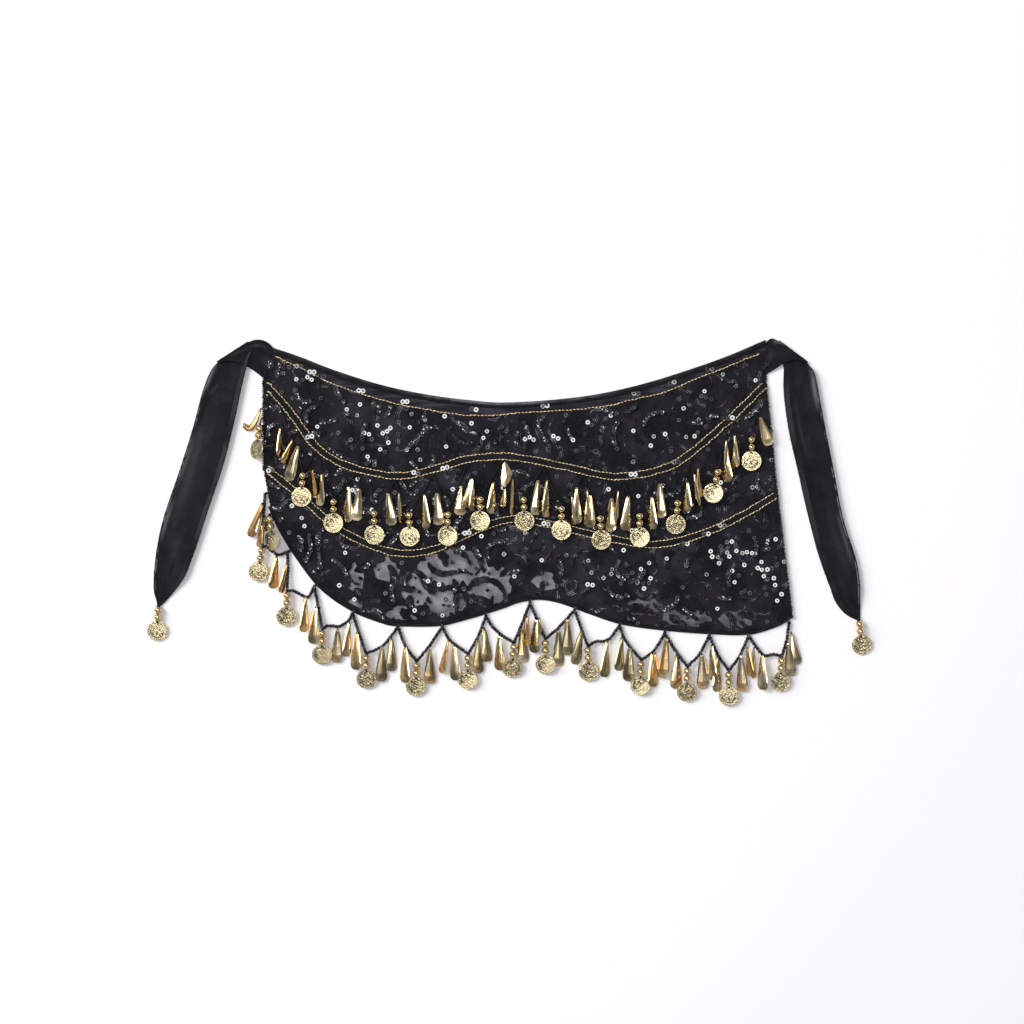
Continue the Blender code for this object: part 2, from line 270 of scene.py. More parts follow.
RIGHT_TIE_OVER = [
    (258.6, 181.8, 257.5, 148.2, 0), (260.4, 182.8, 265.5, 152.8, 0.45),
    (262, 183.4, 274, 158.4, 1), (263.6, 183.6, 285.5, 162, 1), (265, 183.4, 297.5, 159, 1),
]
RIGHT_TIE_UNDER = [
    (265, 183.4, 297.5, 159, 0), (268, 174, 301, 155, 0), (271.5, 164, 303.8, 150.5, 0),
    (274, 154.5, 305.8, 144.5, 0), (273.8, 140, 307.5, 136, 0), (278, 98, 314.5, 98, 0),
    (288.5, 50, 324, 50, 0), (299.5, 2, 333.5, 2, 0), (312.5, -44, 347.5, -44, 0),
    (319.5, -63, 349.8, -60, 0), (328.5, -84, 350.5, -80, 0), (339.5, -94.5, 350.6, -93.5, 0),
    (347.6, -98.4, 350.6, -98.3, 0),
]
# creases of a tie: share across (0 inner, 1 outer) and share along at each end, half-width
# in millimetres, height in millimetres
LEFT_TIE_CREASES = [
    (0.93, 0.16, 0.90, 0.62, 2, 0.9), (0.78, 0.18, 0.93, 0.36, 2.4, 0.8),
    (0.62, 0.36, 0.42, 0.68, 2.6, -0.35), (0.72, 0.40, 0.60, 0.66, 3.4, 0.5),
    (0.50, 0.44, 0.74, 0.50, 2, 0.5), (0.40, 0.66, 0.72, 0.74, 2.2, 0.5),
    (0.35, 0.74, 0.60, 0.90, 2.6, 0.7), (0.55, 0.80, 0.30, 0.95, 2.4, -0.35),
    (0.20, 0.20, 0.16, 0.85, 3, 0.25), (0.75, 0.86, 0.55, 0.98, 2, 0.6),
    (0.10, 0.03, 0.95, 0.06, 3.2, -0.35), (0.15, 0.07, 0.80, 0.10, 3.6, 0.45),
]
RIGHT_TIE_CREASES = [
    (0.92, 0.16, 0.90, 0.30, 2.2, 0.8), (0.90, 0.30, 0.88, 0.60, 2.4, 0.6),
    (0.80, 0.62, 0.72, 0.86, 4.2, 0.8), (0.35, 0.15, 0.38, 0.30, 2.4, -0.35),
    (0.60, 0.55, 0.52, 0.80, 2.8, -0.35), (0.20, 0.30, 0.24, 0.72, 3.4, 0.4),
    (0.45, 0.84, 0.70, 0.96, 2.2, 0.7), (0.30, 0.80, 0.40, 0.95, 2.4, -0.35),
    (0.15, 0.02, 0.25, 0.12, 4, 0.6), (0.60, 0.03, 0.70, 0.12, 3, 0.45),
    (0.55, 0.38, 0.40, 0.48, 2.6, 0.4),
]

# lighter places of a tie: share across and along at each end, half-width in millimetres,
# how much lighter, how much rolled edge catches the light
LEFT_TIE_TONES = [
    (0.78, 0.34, 0.70, 0.72, 7, 0.50, 0), (0.72, 0.20, 0.62, 0.80, 14, 0.14, 0),
    (0.60, 0.74, 0.40, 0.88, 6, 0.25, 0), (0.30, 0, 0.70, 0.02, 5, 0.55, 0),
    (0.88, 0.40, 0.92, 0.58, 1.6, 0, 0.30), (0.93, 0.14, 0.93, 0.26, 1.8, 0, 0.65),
    (0.90, 0.62, 0.93, 0.78, 1.6, 0, 0.45), (0.62, 0.24, 0.85, 0.28, 1.6, 0, 0.12),
    (0.45, 0.10, 0.75, 0.12, 2, 0, 0.10), (0.10, 0.03, 0.30, 0.10, 2, 0.20, 0.10),
]
RIGHT_TIE_TONES = [
    (0.70, 0.18, 0.72, 0.32, 5, 0.20, 0), (0.62, 0.60, 0.66, 0.84, 6, 0.25, 0),
    (0.30, 0, 0.70, 0.02, 5, 0.55, 0), (0.90, 0.14, 0.90, 0.30, 2, 0, 0.65),
    (0.88, 0.62, 0.86, 0.82, 1.6, 0, 0.30), (0.14, 0.04, 0.20, 0.12, 3, 0.20, 0.55),
    (0.30, 0.24, 0.34, 0.46, 1.2, 0, 0.10),
]

# ---- coin drops: coin centre x, y, swing to the right of straight up in degrees ----
UPPER_DROPS = [
    (-207.6, 25.2, 3), (-175.9, -0.9, 0), (-134.9, -12.6, -0.5), (-99.6, -14.3, -1.6),
    (-61.8, -13.6, 1.3), (-29.5, 1.4, 1.6), (14.9, 1.2, -2.1), (51.9, -8, 0), (91.6, -17.6, -3.4),
    (130, -15.1, -0.8), (165.9, -2.2, 4.2), (203.3, 29.1, 11.5), (241.5, 61.1, -1),
]
HEM_DROPS = [
    (-250.5, -49.5, 8), (-222.8, -94.4, 1.8), (-187.2, -132.4, 1), (-142.8, -156.9, -0.5),
    (-93.5, -164.4, 2), (-41.7, -157, 1.3), (2.6, -145.7, 4.8), (36.1, -142.1, 0),
    (79.1, -149.3, -1.6), (130.9, -163.2, 1), (177.3, -169.9, 0.5), (219.2, -173.8, -0.5),
    (270.7, -159.5, 2.8),
]
EDGE_DROP = (-252.0, 72.5, 7.0)
EDGE_DROP_LEAN = 45.0
CORNER_DROP = (-236.4, -18.2, -8.0)
CORNER_DROP_LEAN = 37.0
LEFT_TIE_DROP = (-352.1, -108.8, 2.8)
RIGHT_TIE_DROP = (352.0, -122.8, -6.3)

# ---- fringe threads: where they leave each line, and the bends of each pair of arms ----
UPPER_EXITS = [
    -228.5, -193.5, -153.6, -114.3, -75.5, -42.5, -7.9, 33.6, 73.9, 113.2, 146.7, 182.5, 218.5,
    252.5,
]
HEM_HOOKS = [
    (-244.5, 28), (-236.5, 2.5), (-222, -30), (-195, -64), (-157, -90.5), (-111.5, -105),
    (-67, -104.5), (-23.5, -94), (20.5, -81), (65, -88), (110, -103.5), (155, -111.5),
    (199.5, -113.5), (239, -113.5), (279.5, -101),
]
# left hook, bends of the left arm, right hook, bends of the right arm
HEM_ARMS = [
    (0, [(-245.5, 7), (-247, -12)], 2, [(-243.5, -24.5), (-231, -33)]),
    (2, [(-221.3, -48)], 3, [(-217, -68.5), (-201, -75)]),
    (3, [(-191, -85)], 4, [(-181, -103.5), (-171, -104.5), (-159.5, -97)]),
    (4, [(-150.5, -110.5)], 5, [(-126.5, -123.5)]), (5, [(-104, -124)], 6, [(-82, -126.5)]),
    (6, [(-61.5, -116)], 7, [(-33, -118)]), (7, [(-18, -103.5), (-10, -111.5)], 8, [(10, -108)]),
    (8, [(27, -96.5)], 9, [(48, -106.5)]), (9, [(71.5, -106)], 10, [(86, -119.5), (97, -118.5)]),
    (10, [(114, -115)], 11, [(143.5, -129.5)]), (11, [(166.5, -129.5)], 12, [(189.5, -132.5)]),
    (12, [(210, -136)], 13, [(230.5, -133)]),
    (13, [(246.5, -125), (254.5, -133.5), (264.5, -132)], 14, [(276.5, -119)]),
]

# ---- paillettes: tip x, y, round end x, y, width seen from above, tint (1 is the warmer) ----
UPPER_PAILLETTES = [
    (-229, 94.5, -228.5, 66, 6, 0), (-216.5, 82, -225, 59, 5, 1), (-211, 76, -221, 42, 10, 0),
    (-212, 70.5, -217, 44.5, 4, 0), (-197, 52, -195.5, 27.5, 6, 1),
    (-187.5, 48, -190.5, 17, 8.5, 0), (-161, 35, -162.5, 0.5, 9, 0), (-150, 33.5, -153, 2, 10, 0),
    (-121.5, 29, -118, -3, 9, 0), (-110.5, 29.5, -106.5, 0, 6, 0), (-85.5, 28, -84, -6, 7, 0),
    (-72.5, 29, -71, -2.5, 11, 0), (-47.5, 36, -49.5, 7.5, 11, 0), (-37, 43.5, -42, 14.5, 9, 0),
    (-36.5, 43.5, -36, 11.5, 5, 0), (-16, 40, -17.5, 9, 9, 0), (-5, 34, -8, 16, 7, 0),
    (3.5, 43.5, 5, 8, 4, 0), (28.5, 42, 26.5, 7.5, 9, 0), (37.5, 42, 38, 5.5, 9, 0),
    (62, 25.5, 62.5, -2, 5, 0), (67.5, 35, 68, -1, 9, 0), (77.5, 32, 76.5, 2, 4, 0),
    (80.5, 26.5, 79.5, -5, 10, 0), (102, 24, 100.5, -9, 10, 0), (108.5, 31.5, 109, -1.5, 6, 0),
    (118.5, 26, 116.5, -8, 10, 0), (141.5, 25.5, 142, -6.5, 8, 0), (150, 38.5, 150.5, 4.5, 9, 0),
    (177, 40, 176.5, 11.5, 7, 0), (184, 48, 186.5, 16, 7, 0), (188, 54, 192, 26, 6, 1),
    (216, 81.5, 218.5, 54, 5, 0), (215, 70.5, 217.5, 40.5, 8, 0), (224, 86.5, 224.5, 55.5, 7, 0),
    (250, 104.5, 259, 77, 10, 0),
]
HEM_PAILLETTES = [
    (-247, 18.5, -259.5, -14, 7, 0), (-246, 17, -255, -14, 5, 1), (-247, -2.5, -251, -24, 5, 1),
    (-244, 4.5, -243, -8, 6, 0), (-232.5, -34, -235, -66, 9, 1),
    (-222.5, -41.5, -226.5, -70.5, 5, 0), (-203.5, -74, -204.5, -109.5, 9, 0),
    (-193.5, -85.5, -197, -121, 9, 0), (-171.5, -107, -173, -140, 10, 0),
    (-160, -100, -162.5, -134, 7, 0), (-152.5, -111, -154.5, -147, 10, 0),
    (-127, -124, -127.5, -159, 11, 0), (-118, -115.5, -117.5, -148.5, 9, 0),
    (-104, -124.5, -105.5, -160, 10, 0), (-79.5, -128, -79, -161, 11, 0),
    (-61, -118, -69, -150, 6, 1), (-55, -124, -54.5, -157.5, 10, 0),
    (-31.5, -117, -30.5, -150.5, 10, 0), (-25.5, -106, -21.5, -139, 10, 0),
    (-10, -113.5, -10.5, -147.5, 10, 0), (17.5, -94.5, 15.5, -122.5, 8, 1),
    (11.5, -106, 14.5, -140, 10, 0), (27, -97.5, 24, -130, 10, 0), (29.5, -96.5, 33, -111.5, 5, 0),
    (49, -108, 49, -144, 10, 0), (58, -97, 58, -132.5, 10, 0), (71.5, -108, 66.5, -142, 9, 0),
    (97.5, -118.5, 95.5, -154.5, 9, 0), (112, -115, 110, -148, 9, 0),
    (120, -125, 118, -158.5, 11, 0), (142.5, -130.5, 144, -164, 9, 0),
    (145.5, -131, 147, -155.5, 5, 0), (157, -116, 152.5, -155.5, 10, 0),
    (167, -132, 166.5, -166, 11, 0), (192, -132.5, 193.5, -166.5, 11, 0),
    (201.5, -123.5, 201.5, -157.5, 7, 0), (207.5, -134, 208, -169, 9, 0),
    (231, -133, 232.5, -169, 10, 0), (237.5, -125, 239.5, -153.5, 6, 1),
    (244, -126, 244.5, -155.5, 5, 1), (252, -133, 252, -167, 9, 0),
    (278, -120.5, 281.5, -153.5, 10, 0), (281.5, -111, 287.5, -142, 10, 0),
]

# ---- bright rings in pairs on the smooth strips: x, y ----
RING_PAIRS = [
    (-210.5, 156), (-197.5, 150), (-187.5, 146), (-148.5, 131.5), (-104.5, 121), (-35.5, 112.5),
    (35.5, 116), (126.5, 128.5), (162.5, 139), (200, 153), (-199.5, 85), (-93.5, 49), (-64.5, 54),
    (123.5, 47), (166.5, 60), (220.5, 104), (-238.5, 51), (-42.5, -11), (36.5, -2), (196.5, -12),
    (212.5, -4), (175.5, -21),
]
# ---- dense groups of rings: x, y, radius, how many ----
RING_GROUPS = [
    (252, -50, 30, 24), (132, -52, 16, 12), (-125, 95, 42, 30), (228, -30, 26, 12),
    (60, 100, 30, 7), (210, 130, 22, 5), (-215, 140, 18, 9), (160, 95, 30, 6), (-160, 20, 30, 8),
    (-215, 5, 22, 8), (0, 90, 30, 10), (-75, -75, 34, 6), (100, -60, 22, 9),
]

# ---- open places of the lower panel, where the net shows: x, y, half-width, half-height ----
OPEN_NET = [
    (-153, -55, 9, 14), (-123, -49, 13, 12), (-94, -69, 14, 14), (-60, -46, 36, 18),
    (-20, -64, 25, 18), (-64, -80, 19, 13), (-107, -91, 17, 8), (34, -60, 12, 10),
    (-155, -83, 8, 6), (136, -85, 17, 9), (163, -96, 13, 9), (188, -98, 15, 9), (226, -97, 19, 9),
]

# ---- main creases of the panels: x, y to x, y, half-width, height ----
PANEL_CREASES = [
    (-247, 97, -222, 98, 2.2, 0.9), (-224, 92, -226, 64, 3, 0.8), (-236, 120, -238, 100, 3, 0.7),
    (-180, 126, -150, 84, 6, 0.9), (-140, 120, -122, 72, 7, -0.6), (-88, 100, -62, 74, 6, 0.8),
    (-40, 92, -22, 76, 5, -0.5), (18, 96, 40, 72, 6, 0.8), (70, 104, 92, 66, 7, -0.6),
    (112, 110, 128, 66, 6, 0.9), (160, 122, 178, 84, 6, 0.8), (205, 140, 226, 112, 5, -0.6),
    (-205, 78, -199, 44, 3.4, 0.9), (-170, 46, -168, 12, 4, 0.7), (-128, 34, -140, 4, 4, -0.6),
    (-92, 34, -94, 2, 4, 0.7), (-58, 44, -66, 14, 3.6, 0.8), (-24, 50, -26, 18, 4, -0.6),
    (12, 52, 18, 20, 4, 0.8), (48, 46, 44, 14, 4, 0.7), (88, 36, 92, 6, 4, -0.6),
    (124, 34, 132, 2, 4, 0.8), (168, 44, 160, 12, 3.8, 0.7), (204, 70, 208, 42, 3.6, 0.8),
    (240, 110, 246, 84, 4, -0.6), (217.5, -24, 217, -72, 4, -0.7), (226, -22, 229, -70, 5, 0.8),
    (-196, 4, -168, -42, 6, 0.8), (-92, -44, -74, -84, 6, 0.5), (-30, -22, -22, -74, 6, -0.5),
    (64, -26, 52, -68, 5, 0.7), (98, -36, 88, -86, 6, -0.6), (158, -40, 166, -84, 5, 0.7),
    (252, -6, 262, -84, 5, 0.6), (-226, 24, -206, -26, 4, 0.6), (190, -30, 184, -80, 5, -0.5),
]


# ---------------------------------------------------------------- seam lines and fields

def run_along(points):
    """The length run at each point of a line."""
    return np.concatenate(([0.0], np.cumsum(np.linalg.norm(np.diff(points, axis=0), axis=1))))


def smooth_between(table, run, slopes, at, ease=1.0):
    """Rows at lengths between those of a table, on smooth cubic pieces."""
    piece = np.clip(np.searchsorted(run, at, side="right") - 1, 0, len(run) - 2)
    span = (run[piece + 1] - run[piece])[:, None]
    t = (at - run[piece])[:, None] / span
    return (table[piece] * (2 * t**3 - 3 * t**2 + 1) + table[piece + 1] * (3 * t**2 - 2 * t**3)
            + slopes[piece] * span * (t**3 - 2 * t**2 + t) * ease
            + slopes[piece + 1] * span * (t**3 - t**2) * ease)


class SeamLine:
    """A seam on smooth cubic pieces through its points, in millimetres."""

    def __init__(self, points):
        self.points = np.array(points, float)
        self.knots = run_along(self.points)
        self.length = float(self.knots[-1])
        last = len(self.points) - 1
        before = np.maximum(np.arange(last + 1) - 1, 0)
        after = np.minimum(np.arange(last + 1) + 1, last)
        spans = (self.knots[after] - self.knots[before])[:, None]
        self.slopes = (self.points[after] - self.points[before]) / spans

    def at(self, shares):
        """The points at shares of the length."""
        target = np.clip(np.asarray(shares, float), 0, 1) * self.length
        return smooth_between(self.points, self.knots, self.slopes, target)

    def beside(self, shares, distance):
        """Points moved square to the seam, towards the waist where distance is positive."""
        shares = np.asarray(shares, float)
        reach = 0.002
        along = self.at(np.minimum(shares + reach, 1)) - self.at(np.maximum(shares - reach, 0))
        square = np.stack((-along[:, 1], along[:, 0]), axis=1)
        square /= np.linalg.norm(square, axis=1)[:, None]
        return self.at(shares) + square * np.reshape(distance, (-1, 1))

    def height_at(self, x, samples=400):
        """The y where the seam passes each x."""
        line = self.at(np.linspace(0, 1, samples))
        return np.interp(x, line[:, 0], line[:, 1])


WAIST_LINE = SeamLine(WAIST_EDGE)
WAIST_STITCH_LINE = SeamLine(WAIST_STITCHING)
UPPER_LINE = SeamLine(UPPER_SEAM)
LOWER_LINE = SeamLine(LOWER_SEAM)
HEM_LINE = SeamLine(HEM)


def rising(value, low, high):
    """Nought below low, one above high, smooth between."""
    t = np.clip((value - low) / (high - low), 0, 1)
    return t * t * (3 - 2 * t)


def nearest(points, samples):
    """The distance from each point to the nearest sample."""
    result = np.empty(len(points))
    batch = 4000
    for start in range(0, len(points), batch):
        gap = points[start:start + batch, None, :] - samples[None, :, :]
        result[start:start + batch] = np.sqrt((gap**2).sum(axis=2).min(axis=1))
    return result


def ridge(points, row, half, low, high):
    """One on the segment of a row, less beside it by its half-width, and fading at its ends."""
    start, end = np.array(row[0:2]), np.array(row[2:4])
    along = end - start
    share = ((points - start) @ along) / (along @ along)
    foot = start + np.clip(share, 0, 1)[:, None] * along
    away = np.linalg.norm(points - foot, axis=1)
    return np.exp(-(away / half)**2) * rising(share, low, high) * rising(1 - share, low, high)


def off_net(x, y):
    """How far a place is from the nearest open net: nought in its middle, one at its edge."""
    return min(math.hypot((x - a) / wide, (y - b) / high) for a, b, wide, high in OPEN_NET)


@functools.lru_cache(maxsize=None)
def embroidery():
    """The scrolls of couched tape, as one tree of their centre points, and their rows:
    x, y, heading, half-width, place along, number of the scroll."""
    draw = random.Random(41)
    spacing, clearance, step = 14.0, 6.9, 1.2
    rows = []
    taken = np.empty((0, 2))
    centres = [(-285 + (i + (j % 2) / 2) * spacing + draw.uniform(-5, 5),
                -130 + j * spacing * 0.8 + draw.uniform(-5, 5))
               for i in range(48) for j in range(30)]
    draw.shuffle(centres)

    def room(x, y):
        """How far a place is from every scroll laid so far."""
        return np.hypot(*(taken - (x, y)).T).min() if len(taken) else math.inf

    number = 0
    for centre in centres:
        length = draw.uniform(26, 74)
        radius = draw.uniform(9, 26)
        hook = draw.uniform(0.2, 1.6)
        double = draw.random() < 0.55
        side = draw.choice((-1, 1))
        width = draw.uniform(2.3, 3.9)
        heading, clear, lumps = draw.uniform(0, 2 * math.pi), clearance, 0.55
        if off_net(*centre) < 1.2:
            heading = math.radians(-35) + draw.gauss(0, 0.75)
            length, radius, width, clear, lumps = length * 0.8, radius * 1.7, width * 1.36, 7.8, 1.4
        if room(*centre) < clear:
            continue
        halves = []
        for way in (1, -1):
            x, y, angle, run, half = centre[0], centre[1], heading, 0.0, []
            while run < length / 2:
                share = run / (length / 2)
                bend = side / radius * (1 + hook * share * share)
                if double:
                    bend *= way * rising(share, 0.0, 0.25)
                angle += bend * step * way
                x += math.cos(angle) * step * way
                y += math.sin(angle) * step * way
                run += step
                if room(x, y) < clear:
                    break
                half.append((x, y, angle))
            halves.append(half)
        line = halves[1][::-1] + halves[0]
        if len(line) < 10:
            continue
        for k, (x, y, angle) in enumerate(line):
            share = k / (len(line) - 1)
            half_width = width * (0.5 + 0.5 * math.sin(math.pi * min(share * 1.25, 1.0)**0.8)**0.6)
            half_width += lumps * noise.noise((x / 3.1, y / 3.1, 11.0))
            rows.append((x, y, angle, half_width, k * step, number))
        taken = np.array([row[0:2] for row in rows])
        number += 1
    # small petals in what is left open
    for centre in centres:
        x, y = centre[0] + 6, centre[1] + 4
        if room(x, y) > 4.9 and draw.random() < 0.9:
            angle = draw.uniform(0, 2 * math.pi)
            size = draw.uniform(1.0, 2.0)
            for k in range(4):
                run, half_width = k * 0.8, size * (0.7 + 0.3 * (k % 3 > 0))
                rows.append((x + math.cos(angle) * run, y + math.sin(angle) * run, angle,
                             half_width, run, number))
            taken = np.array([row[0:2] for row in rows])
            number += 1
    tree = KDTree(len(rows))
    for k, row in enumerate(rows):
        tree.insert((row[0], row[1], 0), k)
    tree.balance()
    return tree, np.array(rows)


def tape_field(points):
    """For each point: millimetres inside the nearest tape's edge, across it and along it."""
    tree, rows = embroidery()
    hits = np.array([tree.find((x, y, 0))[1] for x, y in points])
    near = rows[hits]
    gap = points - near[:, 0:2]
    across = -gap[:, 0] * np.sin(near[:, 2]) + gap[:, 1] * np.cos(near[:, 2])
    away = np.linalg.norm(gap, axis=1)
    return near[:, 3] - away, across, near[:, 4]


@functools.lru_cache(maxsize=None)
def sewn_samples():
    """Points of every line that is sewn down flat."""
    shares = np.linspace(0, 1, 170)
    lines = [WAIST_STITCH_LINE.at(shares), UPPER_LINE.at(shares), LOWER_LINE.at(shares),
             HEM_LINE.beside(shares, HEM_BINDING_WIDTH), WAIST_LINE.at(shares)]
    return np.concatenate(lines)


def relief(points, patch=None):
    """How far the panels' upper face stands over its flat height: tape, creases and waves."""
    if patch is None:
        patch = tape_field(points)[0]
    free = rising(nearest(points, sewn_samples()), 3.5, 11.0)
    waves = sum(row[5] * ridge(points, row, row[4], -0.25, 0.3) for row in PANEL_CREASES)
    slow = np.array([noise.noise((x / 22, y / 22, 3.0)) + 0.5 * noise.noise((x / 9, y / 9, 7.0))
                     for x, y in points])
    tape = TAPE_THICK * rising(patch, -0.5, 0.9) * (1 - over_waist_stitch(points, 1.0))
    height = free * (waves + 0.55 * slow) + tape * rising(free, 0.0, 0.3)
    return np.clip(height, -0.75, 1.9)


def over_waist_stitch(points, fade):
    """One on the plain facing over the waist stitching, nought under it."""
    return rising(points[:, 1] - WAIST_STITCH_LINE.height_at(points[:, 0], 300), -fade, fade)


def surface(points):
    """The height of what shows at each point of the panels, bands included."""
    top = CLOTH + relief(points)
    shares = np.linspace(0, 1, 400)
    for line in (UPPER_LINE, LOWER_LINE):
        on_band = nearest(points, line.at(shares)) < BAND_WIDTH / 2 + 0.2
        top = np.where(on_band, BAND_TOP + 0.1, top)
    return top + curl(points[:, 0], points[:, 1])


def curl(x, y):
    """How far the right side edge stands up off the floor."""
    ends = [line[-1] for line in (HEM, LOWER_SEAM, UPPER_SEAM, WAIST_EDGE)]
    edge = np.interp(y, [end[1] for end in ends], [end[0] for end in ends])
    return CURL_RISE * np.exp(-np.maximum(edge - x, 0) / 7) * (1 - rising(y, 118, 142))


def outline():
    """The panels' outline."""
    shares = np.linspace(0, 1, 80)
    top = WAIST_LINE.beside(shares, -WAIST_BINDING_WIDTH)
    bottom = HEM_LINE.beside(shares, HEM_BINDING_WIDTH + 1)[::-1]
    right = [UPPER_LINE.at([1])[0], LOWER_LINE.at([1])[0]]
    left = [LOWER_LINE.at([0])[0], UPPER_LINE.at([0])[0]]
    return np.concatenate((top, right, bottom, left))


def inside(points, edge):
    """Which points are inside a closed outline."""
    result = np.zeros(len(points), bool)
    for (x0, y0), (x1, y1) in zip(edge, np.roll(edge, -1, axis=0)):
        crosses = (y0 > points[:, 1]) != (y1 > points[:, 1])
        if y0 != y1:
            at = (x1 - x0) * (points[:, 1] - y0) / (y1 - y0) + x0
            result ^= crosses & (points[:, 0] < at)
    return result


# ---------------------------------------------------------------- node trees

class Wire:
    """A value in a node tree: arithmetic on it adds Math nodes."""

    def __init__(self, nodes, socket):
        self.nodes, self.socket = nodes, socket

    def math(self, operation, *values):
        return self.nodes.node("ShaderNodeMath", {"operation": operation}, dict(enumerate(values)))

    def __add__(self, other):
        return self.math("ADD", self, other)

    def __sub__(self, other):
        return self.math("SUBTRACT", self, other)

    def __rsub__(self, other):
        return self.math("SUBTRACT", other, self)

    def __mul__(self, other):
        return self.math("MULTIPLY", self, other)

    def __truediv__(self, other):
        return self.math("DIVIDE", self, other)

    __radd__ = __add__
    __rmul__ = __mul__

    def low(self, other):
        return self.math("MINIMUM", self, other)

    def high(self, other):
        return self.math("MAXIMUM", self, other)

    def wave(self, pitch):
        """A cosine with a crest at every pitch."""
        return self.math("COSINE", self * (2 * math.pi / pitch))

    def stripes(self, pitch):
        """The same from nought to one."""
        return self.wave(pitch) * 0.5 + 0.5

    def rise(self, low, high):
        """Nought below low, one above high, smooth between."""
        return self.nodes.node("ShaderNodeMapRange", {"interpolation_type": "SMOOTHSTEP"},
                               {"Value": self, "From Min": low, "From Max": high})


class Nodes:
    """A node tree built one node at a time."""

    def __init__(self, tree):
        self.tree = tree

    def node(self, kind, settings=None, inputs=None, out=0):
        """Any node: its type, its settings, the values or links of its sockets, its output."""
        made = self.tree.nodes.new(kind)
        for key, value in (settings or {}).items():
            setattr(made, key, value)
        for key, value in (inputs or {}).items():
            if isinstance(value, Wire):
                self.tree.links.new(value.socket, made.inputs[key])
            else:
                made.inputs[key].default_value = value
        return Wire(self, made.outputs[out])


# ---------------------------------------------------------------- finishes

class Finish(Nodes):
    """A Principled finish: constants sit on its own sockets, and feed() wires what varies."""

    def __init__(self, name, colour, roughness, metallic=0.0, **constants):
        self.material = bpy.data.materials.new(name)
        self.material.use_nodes = True
        super().__init__(self.material.node_tree)
        self.shader = self.tree.nodes["Principled BSDF"]
        values = {"Base Color": (*colour, 1.0), "Roughness": roughness, "Metallic": metallic}
        values.update({key.replace("_", " "): value for key, value in constants.items()})
        for socket, value in values.items():
            self.shader.inputs[socket].default_value = value

    def attributes(self, *names):
        """A value for each named attribute."""
        return [self.node("ShaderNodeAttribute", {"attribute_name": name}, out="Fac")
                for name in names]

    def place(self):
        return self.node("ShaderNodeTexCoord", out="Object")

    def speckle(self, scale, detail=2.0, where=None, roughness=0.5):
        return self.node("ShaderNodeTexNoise", None, {
            "Vector": where or self.place(), "Scale": scale, "Detail": detail,
            "Roughness": roughness})

    def axes(self):
        """The place on the piece as three values in millimetres."""
        split = self.node("ShaderNodeSeparateXYZ", None, {0: self.place()})
        return [Wire(self, output) * (1 / MM) for output in split.socket.node.outputs]

    def mix(self, share, start, end):
        """A colour between two."""
        start, end = (value if isinstance(value, Wire) else (*value, 1.0)
                      for value in (start, end))
        return self.node("ShaderNodeMix", {"data_type": "RGBA"}, {0: share, 6: start, 7: end},
                         out=2)

    def bump(self, height, depth):
        """A bump whose height of one is depth millimetres."""
        return self.node("ShaderNodeBump", None, {"Height": height, "Distance": depth * MM,
                                                  "Strength": 1.0})

    def feed(self, **wires):
        for key, wire in wires.items():
            self.tree.links.new(wire.socket, self.shader.inputs[key.replace("_", " ")])
        return self.material


def tint(colour, share):
    """A colour made darker or lighter."""
    return tuple(channel * share for channel in colour)


